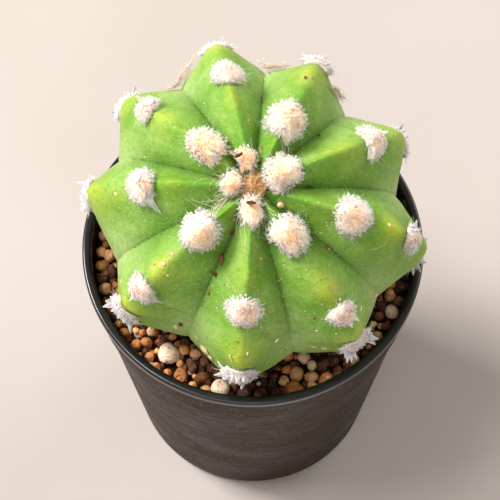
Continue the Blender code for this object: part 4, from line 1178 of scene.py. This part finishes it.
def make_wool(rib, row, finish):
    """Felt, short hairs, horns and stray hairs of one areole as one piece."""
    polar, third = AREOLE_POLAR[rib][row], row == 2
    outer = polar > OUTER_POLAR
    tuft = wool_tuft(rib, row)
    draw = np.random.default_rng(100 + tuft.seed)
    area = math.pi * tuft.half_width * tuft.half_length / MM**2
    count = int(HAIRS_PER_SQUARE_MM * area * (OUTER_HAIRS if outer else 1.0))
    length = float(np.interp(polar, HAIR_LENGTH_POLAR, HAIR_LENGTH_MM)) * MM
    heart, heart_turn = draw.uniform(0.05, 0.3), draw.uniform(0, 2 * math.pi)
    shape, share = felt(tuft)
    # The felt's low tip value gives it the root colour, the painted shade under the hairs.
    parts, rim, tip, tone = [shape], [share], [np.full(len(share), 0.1)], [np.full(len(share), 0.6)]
    shape, share, own = hairs(tuft, count, length, draw, OUTER_FAN if outer else FAN)
    sets = [(shape, share, HAIR_STEPS, own)]
    places = HORNS.get((rib + 1, row + 1), ())
    if not places and outer:
        turn = np.radians(np.arange(HIDDEN_HORNS) * 72 + draw.uniform(-25, 25, HIDDEN_HORNS))
        far = draw.uniform(4.0, 5.8, HIDDEN_HORNS)
        lift = draw.uniform(0.4, 2.8, HIDDEN_HORNS)
        places = np.stack([far * 0.7 * np.cos(turn), far * np.sin(turn), lift], 1)
    long_ones = [stray_hairs(tuft, THIRD_STRAY_HAIRS if third else STRAY_HAIRS, draw)]
    if third:
        long_ones.append(stray_hairs(tuft, UPWARD_HAIRS, draw, True))
    if len(places):
        long_ones.append(horns(tuft, places, draw, THIRD_HORN_HAIRS if third else HORN_HAIRS))
    sets += [(shape, np.ones(len(own)), 0.45 + 0.55 * t, own) for shape, t, own in long_ones]
    for shape, share, along, own in sets:
        parts.append(shape)
        rim.append(strand_marks(share, np.ones(len(along))))
        tip.append(strand_marks(np.ones(len(own)), along))
        tone.append(strand_marks(own, np.ones(len(along))))
    shape = joined(parts)
    along = (shape[0] - tuft.here) @ tuft.along / tuft.half_length - heart * math.cos(heart_turn)
    across = (shape[0] - tuft.here) @ tuft.across / tuft.half_width - heart * math.sin(heart_turn)
    away = np.clip(np.hypot(along, across), 0, 1)
    rim = (np.concatenate(rim) * 0.35 + away * 0.65) * PALE_HEARTS.get((rib + 1, row + 1), 1.0)
    young, old = AGE_POLAR
    age = np.full(len(rim), float(np.clip((polar - young) / (old - young), 0, 1)))
    marks = {"rim": rim, "tip": np.concatenate(tip), "tone": np.concatenate(tone), "age": age}
    name = f"{rib + 1}_{row + 1}"
    piece("wool_rib" + name, shape, finish, ("areole_rib" + name,), marks)


def make_crown_felt(finish):
    """The flat tan felt on the very crown, level over ribs and furrows, between the four youngest areoles."""
    across, behind, up = AXES
    top = skin_point([0.0], [0.0])[0] + up * CROWN_FELT_LIFT * MM
    size = CROWN_FELT_HALF_WIDTH, CROWN_FELT_HALF_LENGTH, CROWN_FELT_RISE
    tuft = Tuft((top, up, across, behind), *size, 1.0, CROWN_FELT_EDGE, CROWN_FELT_SEED)
    draw = np.random.default_rng(CROWN_FELT_SEED)
    shape, share = felt(tuft, 0.6)
    short, _, _ = hairs(tuft, CROWN_HAIRS, 1.0 * MM, draw, 0.9)
    stray, t, _ = stray_hairs(tuft, CROWN_STRAY_HAIRS, draw)
    tip = [np.zeros(len(share)), strand_marks(np.ones(CROWN_HAIRS), HAIR_STEPS)]
    tip.append(strand_marks(np.ones(CROWN_STRAY_HAIRS), t))
    shape = joined([shape, short, stray])
    piece("crown_felt", shape, finish, marks={"tip": np.concatenate(tip)})


def flat_axes(polar_deg, azimuth_deg, sizes, turn):
    """Axes of small things lying on the skin: turned in its plane and scaled to half their sizes."""
    along, across, normal = np.moveaxis(skin_axes(polar_deg, azimuth_deg), 1, 0)
    first = along * np.cos(turn)[:, None] + across * np.sin(turn)[:, None]
    second = np.cross(normal, first)
    return np.stack([first, second, normal], 1) * (sizes / 2)[..., None]


def stuck_on(name, azimuth, polar, sizes, turn, lift, form, tone, finish):
    """A piece of lumps lying on the skin, lifted by a share of half their thickness."""
    axes = flat_axes(polar, azimuth, sizes, turn)
    places = skin_point(polar, azimuth) + axes[:, 2] * lift
    lumpy_piece(name, places, axes, form, tone, finish)


def make_scabs(finish):
    """Dry scabs and beads: flattened lumps stuck to the skin."""
    azimuth, polar, long, wide = np.array(SCABS).T
    sizes = np.stack([long, wide, 0.35 * wide + 0.12], 1) * MM
    draw = np.random.default_rng(5)
    turn = draw.uniform(-1.2, 1.2, len(SCABS)) + 1.2
    tone = draw.uniform(0.3, 1.0, len(SCABS))
    stuck_on("skin_scabs", azimuth, polar, sizes, turn, 0.55, (0.45, 3, 21), tone, finish)


def make_specks(finish):
    """Russet grit on the skin, and fine grit thrown over it from a seed."""
    draw = np.random.default_rng(8)
    azimuth, polar, size = np.array(SPECKS).T
    azimuth = np.concatenate([azimuth, draw.uniform(-180, 180, SKIN_GRIT)])
    polar = np.concatenate([polar, draw.uniform(12, 88, SKIN_GRIT)])
    size = np.concatenate([size, draw.uniform(0.14, 0.34, SKIN_GRIT)]) * MM
    sizes = np.stack([size, size * draw.uniform(0.6, 1.0, len(size)), size * 0.6], 1)
    turn = draw.uniform(0, 6.3, len(size))
    tone = draw.uniform(0, 1, len(size)) ** 1.5
    stuck_on("skin_specks", azimuth, polar, sizes, turn, 0.6, (0.4, 2, 22), tone, finish)


def make_furrow_crumbs(finish):
    """Brown crumbs caught in the furrows: named ones, and small ones strung along each furrow."""
    draw = np.random.default_rng(13)
    count = FURROW_GRIT * len(FURROW_AZIMUTHS)
    thrown_azimuth = np.repeat(FURROW_AZIMUTHS, FURROW_GRIT) + draw.normal(0, 0.7, count)
    thrown_polar = draw.uniform(13, 78, count)
    size = draw.uniform(0.18, 0.55, count) ** 1.2
    thrown = thrown_azimuth, thrown_polar, size, size * draw.uniform(0.5, 0.9, count)
    azimuth, polar, long, wide = np.concatenate([np.array(FURROW_CRUMBS).T, thrown], 1)
    turn = draw.normal(0, 0.35, len(long))
    tone = draw.uniform(0, 1, len(long)) ** 2
    long, wide = long * MM, wide * MM
    sizes = np.stack([long, wide, wide * 0.8], 1)
    stuck_on("furrow_crumbs", azimuth, polar, sizes, turn, 0.7, (0.5, 2, 23), tone, finish)


def make_wool_grit(finish):
    """Red-brown specks lying on the wool, and two dark seed husks on the crown's youngest areoles."""
    draw = np.random.default_rng(17)
    places, sizes = [], []
    for rib, angles in enumerate(AREOLE_POLAR):
        for row in np.flatnonzero(np.array(angles) <= 100):
            tuft = wool_tuft(rib, row)
            spots = tuft.at(np.sqrt(draw.uniform(0, 0.9, TUFT_GRIT)), draw.uniform(0, 6.3, TUFT_GRIT))
            places.append(spots + tuft.normal * 0.6 * MM)
            sizes.append(draw.uniform(0.16, 0.42, TUFT_GRIT))
    for rib, share, turn, _ in SEED_HUSKS:
        tuft = wool_tuft(rib, 0)
        places.append(tuft.at(np.array([share]), np.array([turn])) + tuft.normal * 0.9 * MM)
    places, sizes = np.concatenate(places), np.concatenate(sizes)
    sizes = sizes[:, None] * draw.uniform(0.6, 1.0, (len(sizes), 3)) * MM / 2
    grit = random_turns(draw, len(sizes)) * sizes[:, :, None]
    husks = np.array([axes for _, _, _, axes in SEED_HUSKS]) * MM
    tone = draw.uniform(0, 0.7, len(places))
    tone[len(grit):] = 0.0
    lumpy_piece("wool_grit", places, np.concatenate([grit, husks]), (0.4, 2, 24), tone, finish)


def make_flakes(finish):
    """Crumpled dry flakes behind the crown: thin curved plates, and beads in the furrow in front."""
    table = np.array(FLAKES)
    azimuth, polar, turn, tone = table[:, [0, 1, 5, 6]].T
    axes = flat_axes(polar, azimuth, table[:, 2:5] * MM, turn)
    behind = azimuth > 0
    tilt = np.where(behind[:, None], np.cross(axes[:, 0], np.array([0.3, 0.5, 0.2])), 0)
    axes[:, 2] += tilt * 0.2
    places = skin_point(polar, azimuth) + unit(axes[:, 2]) * (np.where(behind, 2.6, 0.5) * MM)[:, None]
    lumpy_piece("crown_husks", places, axes, (0.6, 3, 25), tone, finish)


def make_threads(finish):
    """Thin threads on the skin, smooth curves through their points, and cobweb hairs round the crown."""
    draw = np.random.default_rng(29)
    t = np.linspace(0, 1, THREAD_STEPS)
    paths, radii, tone = [], [], []
    for points, own in THREADS:
        line = np.linspace(0, 1, len(points))
        azimuth, polar = (np.interp(t, line, column) for column in np.array(points).T)
        paths.append(skin_point(polar, azimuth, 0.10 * MM))
        thick = np.full(THREAD_STEPS, 0.11 if own > 0.5 else 0.05) * MM
        radii.append(thick * (1 - 0.5 * np.abs(2 * t - 1)))
        tone.append(own)
    for azimuth_a, polar_a, azimuth_b, polar_b, count in COBWEBS:
        start = draw.normal(0, 1, (count, 2)) * (5.0, 1.4)
        end = draw.normal(0, 1, (count, 2)) * (7.0, 3.0)
        azimuth = azimuth_a + start[:, :1] + (azimuth_b - azimuth_a + end[:, :1]) * t
        polar = polar_a + start[:, 1:] + (polar_b - polar_a + end[:, 1:]) * t
        sway = 0.5 * np.sin(4 * t + draw.uniform(0, 6, (count, 1)))
        lift = draw.uniform(0.3, 1.3, (count, 1)) * MM * np.sin(math.pi * t) + 0.08 * MM
        paths.extend(skin_point(polar + sway, azimuth + 2 * sway, lift))
        radii.extend(np.full((count, THREAD_STEPS), COBWEB_RADIUS) * (1 - 0.4 * t))
        tone.extend(np.full(count, 0.08))
    shape = strands(np.array(paths), np.array(radii))
    marks = {"tone": strand_marks(tone, np.ones(THREAD_STEPS))}
    piece("skin_threads", shape, finish, marks=marks)


def make_stalk(number, azimuth_deg, polar_deg, turn_deg, length, finish):
    """A withered stalk: a thin pleated tube along a bent path over the skin, frayed into fibres all along."""
    here, normal, along, across = ridge_frame(polar_deg, azimuth_deg)
    turn = math.radians(turn_deg)
    heading = along * math.cos(turn) + across * math.sin(turn)
    aside = np.cross(normal, heading)
    share = np.linspace(0, 1, STALK_RINGS)
    belly = np.sin(math.pi * np.minimum(share * 1.25, 1.0))
    swell = STALK_THINNESS * FLOWER_RADIUS * (0.6 + 0.9 * belly * share)
    foot = on_skin(here + heading * (length * (share - FLOWER_START))[:, None])
    arch, rise = STALK_LOWNESS * FLOWER_ARCH, STALK_LOWNESS * FLOWER_RISE
    lift = FLOWER_GAP + swell + arch * np.sin(math.pi * share) + rise * share**2
    kink = 0.12 * MM * np.sin(17 * share + number)
    bend = FLOWER_BEND * np.sin(3 * share) + kink
    middle = foot + normal * (lift + kink)[:, None] + aside * bend[:, None]
    angle = full_turn(STALK_SIDES) + 2.2 * share[:, None]
    pleat = np.cos(5 * angle + 6 * share[:, None])
    radius = swell[:, None] * (0.82 + 0.26 * pleat)
    spoke = np.cos(angle)[..., None] * normal + np.sin(angle)[..., None] * aside
    rings = middle[:, None] + spoke * radius[..., None]
    tube = lofted(rings[None], middle[:1] - heading * 0.3 * MM, middle[-1:] + heading * 0.5 * MM, rising=True)
    draw = np.random.default_rng(40 + number)
    many = STALK_FIBRES
    t = np.linspace(0, 1, 7)
    start = middle[draw.integers(0, STALK_RINGS, many)]
    end = start + heading * draw.uniform(-1.2, 2.4, (many, 1)) * MM + draw.normal(0, 0.75 * MM, (many, 3))
    loose = start[:, None] * (1 - t)[None, :, None] + end[:, None] * t[None, :, None]
    loose = loose + (normal + aside) * (0.3 * MM * np.sin(3 * t))[None, :, None]
    low = foot[draw.integers(0, STALK_RINGS, many)] + draw.normal(0, 0.5 * MM, (many, 3))
    mat = start[:, None] + (low - start)[:, None] * (t * draw.uniform(0.6, 1.0, (many, 1)))[..., None]
    mat = mat + heading * (1.1 * MM * np.sin(2.4 * t) * draw.normal(0, 1, (many, 1)))[..., None]
    paths = clear_of_skin(np.concatenate([loose, mat]), 0.08 * MM)
    fibres = strands(paths, np.full((2 * many, 7), FIBRE_RADIUS) * (1 - 0.5 * t))
    wide = np.concatenate([[0.0], (0.5 - 0.5 * pleat).ravel(), [0.0]])
    tip = ring_marks(np.concatenate([[0.0], share, [1.0]])[None], STALK_SIDES)
    ends = len(fibres[0])
    marks = {
        "pleat": np.concatenate([wide, np.zeros(ends)]),
        "tip": np.concatenate([tip, np.full(ends, 0.9)]),
    }
    shape = joined([tube, fibres])
    piece(f"dried_stalk_{number}", shape, finish, (f"dried_flower_{number}",), marks)


# Soil


def inner_radius(height):
    """The pot's inner wall radius at a height."""
    heights = (FLOOR, FLOOR + BASE_FILLET, STEP_HEIGHT - INNER_STEP, STEP_HEIGHT, POT_HEIGHT)
    narrow, wide = BASE_RADIUS - WALL, BODY_TOP_RADIUS - WALL
    radii = (narrow - BASE_FILLET, narrow, wide, COLLAR_FOOT_RADIUS - WALL, RIM_RADIUS - LIP_WIDTH)
    return np.interp(height, heights, radii)


def make_soil_bed(finish):
    """The filling as one turned solid: up the root's hole, over the bowl and the bed, down the wall."""
    turn = full_turn(BED_SIDES)
    rings = [circle(turn, ROOT_HOLE_TIP_RADIUS, POT_HEIGHT + ROOT_TIP - SOIL_GAP, ROOT_X, ROOT_Y)]
    for radius, drop in ROOT_PROFILE[::-1]:
        rings.append(circle(turn, radius + ROOT_ROOM, POT_HEIGHT + drop - SOIL_GAP, ROOT_X, ROOT_Y))
    wall = inner_radius(SOIL_LEVEL) - SOIL_WALL_GAP
    for share in np.linspace(0, 1, BED_RINGS):
        radius = HOLE_RADIUS + (wall - HOLE_RADIUS) * share
        ring = circle(turn, radius, 0.0, ROOT_X * (1 - share), ROOT_Y * (1 - share))
        bed = SOIL_LEVEL - BED_DROP + BED_WAVES * wander(ring, BED_WAVE_WIDTH, 6)
        ring[:, 2] = np.minimum(bed, under_plant(ring[:, 0], ring[:, 1]) - BOWL_GAP)
        rings.append(ring)
    for height in (STEP_HEIGHT, STEP_HEIGHT - INNER_STEP, FLOOR + BASE_FILLET, FLOOR + SOIL_GAP):
        rings.append(circle(turn, inner_radius(height) - SOIL_WALL_GAP, height))
    tip = np.array([[ROOT_X, ROOT_Y, POT_HEIGHT + ROOT_TIP - SOIL_GAP]])
    foot = np.array([[0.0, 0.0, FLOOR + SOIL_GAP]])
    piece("soil_bed", lofted(np.array(rings)[None], tip, foot), finish, ("soil",))


def granule_places():
    """The granules seen in front, then others thrown from a seed where there is room, in two layers."""
    draw = np.random.default_rng(GRANULE_SEED)
    wall = float(inner_radius(SOIL_LEVEL)) - SOIL_GAP
    kept = []
    for x, y, radius, kind in GRANULES:
        spot = np.array([x, y]) * MM
        spot *= min(1.0, (wall - radius * MM) / np.hypot(*spot))
        kept.append([spot[0], spot[1], SOIL_LEVEL + (0.25 + 0.2 * radius) * MM, radius * MM, kind])
    near = np.array([k[:4] for k in kept])
    for lift, small, large, tries in GRANULE_LAYERS:
        for attempt in range(tries):
            radius = draw.uniform(small, large) * (1.0 - 0.4 * attempt / tries) * MM
            away, turn = (wall - radius) * math.sqrt(draw.uniform(0.36, 1.0)), draw.uniform(0, 2 * math.pi)
            x, y = away * math.cos(turn), away * math.sin(turn)
            if (np.hypot(near[:, 0] - x, near[:, 1] - y) < (near[:, 3] + radius) * 0.93).any():
                continue
            row = [x, y, SOIL_LEVEL + (lift + draw.uniform(-0.3, 0.4)) * MM, radius]
            near = np.vstack([near, row])
            kept.append(row + [draw.choice(list(GRANULE_KINDS))])
        near = np.zeros((0, 4))
    return kept


def make_granules():
    """Rounded clay and pumice grains, lowered where the plant is over them, sorted by kind into pieces.

    The listed ones are finer than the many thrown ones.
    """
    kept = granule_places()
    table = np.array([k[:4] for k in kept])
    kinds = np.array([k[4] for k in kept])
    placed_by_hand = np.arange(len(kept)) < len(GRANULES)
    room = under_plant(table[:, 0], table[:, 1]) - table[:, 3] * 1.35
    table[:, 2] = np.minimum(table[:, 2], room)
    seen = table[:, 2] > SOIL_LEVEL - 3.2 * MM
    draw = np.random.default_rng(GRANULE_SEED + 1)
    for name, members, rough, *looks in GRANULE_SORTS:
        parts, tone = [], []
        for level, which in ((3, placed_by_hand), (2, ~placed_by_hand)):
            chosen = np.isin(kinds, list(members)) & which & seen
            rows = table[chosen]
            turns = random_turns(draw, len(rows))
            sizes = rows[:, 3:4] * draw.uniform(0.88, 1.06, (len(rows), 3))
            parts.append(lumps(rows[:, :3], turns * sizes[:, :, None], rough, level, 31 + level))
            low, high = np.array([GRANULE_TONES[kind] for kind in kinds[chosen]]).T
            tone.append(np.repeat(draw.uniform(low, high), len(parts[-1][0]) // len(rows)))
        finish = granule_finish("granule_" + name, *looks)
        piece("granules_" + name, joined(parts), finish, marks={"tone": np.concatenate(tone)})


# Pot


def eased(profile, bend):
    """A section with each corner replaced by a short curve that starts a bend's length before it."""
    profile = np.array(profile)
    made = [profile[:1]]
    for before, corner, after in zip(profile[:-2], profile[1:-1], profile[2:]):
        back, ahead = before - corner, after - corner
        far_back, far_ahead = np.linalg.norm(back), np.linalg.norm(ahead)
        start = corner + back / far_back * min(bend, far_back * 0.48)
        end = corner + ahead / far_ahead * min(bend, far_ahead * 0.48)
        made.append(bowed(start, corner, end, np.linspace(0, 1, 5)[:, None]))
    made.append(profile[-1:])
    return np.concatenate(made)


def pot_profile():
    """The pot's section as (radius, height): down the inside, out over the lip, down the outside."""
    lip_foot = POT_HEIGHT - LIP_HEIGHT
    inner_top = RIM_RADIUS - LIP_WIDTH
    return [
        (BASE_RADIUS - WALL - BASE_FILLET, FLOOR),
        (BASE_RADIUS - WALL, FLOOR + BASE_FILLET),
        (BODY_TOP_RADIUS - WALL, STEP_HEIGHT - INNER_STEP),
        (COLLAR_FOOT_RADIUS - WALL, STEP_HEIGHT),
        (inner_top, lip_foot),
        (inner_top, POT_HEIGHT),
        (RIM_RADIUS, POT_HEIGHT),
        (RIM_RADIUS, lip_foot),
        (COLLAR_TOP_RADIUS, lip_foot - LIP_UNDERCUT),
        (COLLAR_FOOT_RADIUS, STEP_HEIGHT),
        (BODY_TOP_RADIUS, STEP_HEIGHT - STEP_CHAMFER),
        (BASE_RADIUS, BASE_FILLET),
        (BASE_RADIUS - BASE_FILLET * 0.3, BASE_FILLET * 0.3),
        (BASE_RADIUS - BASE_FILLET, 0.0),
    ]


def make_pot(finish):
    """The pot as a turned section with eased corners, marked at its lip and inside, then drained."""
    section = eased(pot_profile(), CORNER_EASE)
    fine = np.linspace(0, len(section) - 1, 3 * len(section) - 2)
    radius, height = (np.interp(fine, np.arange(len(section)), column) for column in section.T)
    turn = full_turn(POT_SIDES)
    rings = np.array([circle(turn, *spot) for spot in zip(radius, height)])
    shape = lofted(rings[None], np.array([[0.0, 0.0, FLOOR]]), np.zeros((1, 3)))
    lip = np.clip((height - (POT_HEIGHT - LIP_HEIGHT - 0.4 * MM)) / (0.5 * MM), 0, 1)
    inside = (np.arange(len(fine)) < np.argmax(height)).astype(float)
    marks = {}
    for label, values in (("lip", lip), ("inside", inside)):
        marks[label] = ring_marks(np.concatenate([values[:1], values, values[-1:]])[None], POT_SIDES)
    drain(piece("pot_shell", shape, finish, ("pot",), marks))


def drain(pot):
    """Cuts the circle of drain holes through the base and keeps the cut mesh."""
    work = bmesh.new()
    size = {"segments": 32, "radius1": DRAIN_RADIUS, "radius2": DRAIN_RADIUS, "depth": FLOOR * 4}
    for k in range(DRAIN_HOLES):
        turn = 2 * math.pi * (k + 0.5) / DRAIN_HOLES
        made = bmesh.ops.create_cone(work, cap_ends=True, **size)
        middle = (DRAIN_CIRCLE_RADIUS * math.cos(turn), DRAIN_CIRCLE_RADIUS * math.sin(turn), 0.0)
        bmesh.ops.translate(work, verts=made["verts"], vec=middle)
    mesh = bpy.data.meshes.new("drain_cutter")
    work.to_mesh(mesh)
    work.free()
    cutter = placed("drain_cutter", mesh)
    cut = pot.modifiers.new("drain", "BOOLEAN")
    cut.object = cutter
    bpy.context.view_layer.update()
    kept = bpy.data.meshes.new_from_object(pot.evaluated_get(bpy.context.evaluated_depsgraph_get()))
    pot.modifiers.clear()
    pot.data = kept
    bpy.data.objects.remove(cutter)


# Floor, light and view


def make_floor(finish):
    """The plain floor that the pot stands on."""
    mesh = bpy.data.meshes.new("floor")
    mesh.from_pydata([(-3, -3, 0), (3, -3, 0), (3, 3, 0), (-3, 3, 0)], [], [(0, 1, 2, 3)])
    mesh.materials.append(finish)
    placed("floor", mesh)


def soft_light(name, place, aim, size, power, colour):
    """A square soft light at a place, facing its aim."""
    lamp = bpy.data.lights.new(name, "AREA")
    lamp.size, lamp.energy, lamp.color = size, power, colour
    back = unit(np.array(place) - np.array(aim))
    right = unit(np.cross([0.0, 0.0, 1.0], back))
    placed(name, lamp).matrix_world = turned(right, np.cross(back, right), back, place)


def turned(right, up, back, place):
    """The matrix of something with these axes at a place."""
    matrix = np.eye(4)
    matrix[:3] = np.stack([right, up, back, place], 1)
    return Matrix(matrix.tolist())


def make_light():
    """The soft lights and the even sky."""
    for values in LIGHTS:
        soft_light(*values)
    world = bpy.data.worlds.new("room")
    world.use_nodes = True
    sky = world.node_tree.nodes["Background"].inputs
    sky["Color"].default_value, sky["Strength"].default_value = SKY_COLOUR, SKY_STRENGTH
    bpy.context.scene.world = world
    bpy.context.scene.view_settings.view_transform = "Standard"


def make_camera():
    """A long lens above the front, aimed at the middle of the rim's plane."""
    rise, roll = math.radians(CAMERA_RISE_DEG), math.radians(CAMERA_ROLL_DEG)
    back = np.array([0.0, -math.cos(rise), math.sin(rise)])
    right = np.array([1.0, 0.0, 0.0])
    up = np.cross(back, right)
    right, up = math.cos(roll) * right + math.sin(roll) * up, math.cos(roll) * up - math.sin(roll) * right
    lens = bpy.data.cameras.new("camera")
    lens.lens, lens.sensor_width, lens.clip_start = LENS_MM, SENSOR_MM, 0.01
    holder = placed("camera", lens)
    holder.matrix_world = turned(right, up, back, CAMERA_TARGET + back * CAMERA_DISTANCE)
    bpy.context.scene.camera = holder


def main():
    """Makes the view, the light and every piece, from the floor up."""
    make_camera()
    make_light()
    make_floor(floor_finish())
    make_pot(pot_finish())
    make_soil_bed(soil_finish())
    make_granules()
    make_skin(skin_finish())
    wool = wool_finish()
    for rib, angles in enumerate(AREOLE_POLAR):
        for row in range(len(angles)):
            make_wool(rib, row, wool)
    make_crown_felt(crown_felt_finish())
    make_scabs(crumb_finish("scab_finish", (196, 128, 78), (240, 214, 176)))
    grit = crumb_finish("grit_finish", (84, 40, 26), (196, 140, 96))
    make_specks(grit)
    make_furrow_crumbs(grit)
    make_wool_grit(grit)
    make_flakes(crumb_finish("husk_finish", (96, 44, 30), (232, 196, 150)))
    make_threads(thread_finish())
    stalk = stalk_finish()
    for number, values in enumerate(DRIED_FLOWERS, 1):
        make_stalk(number, *values, stalk)


main()
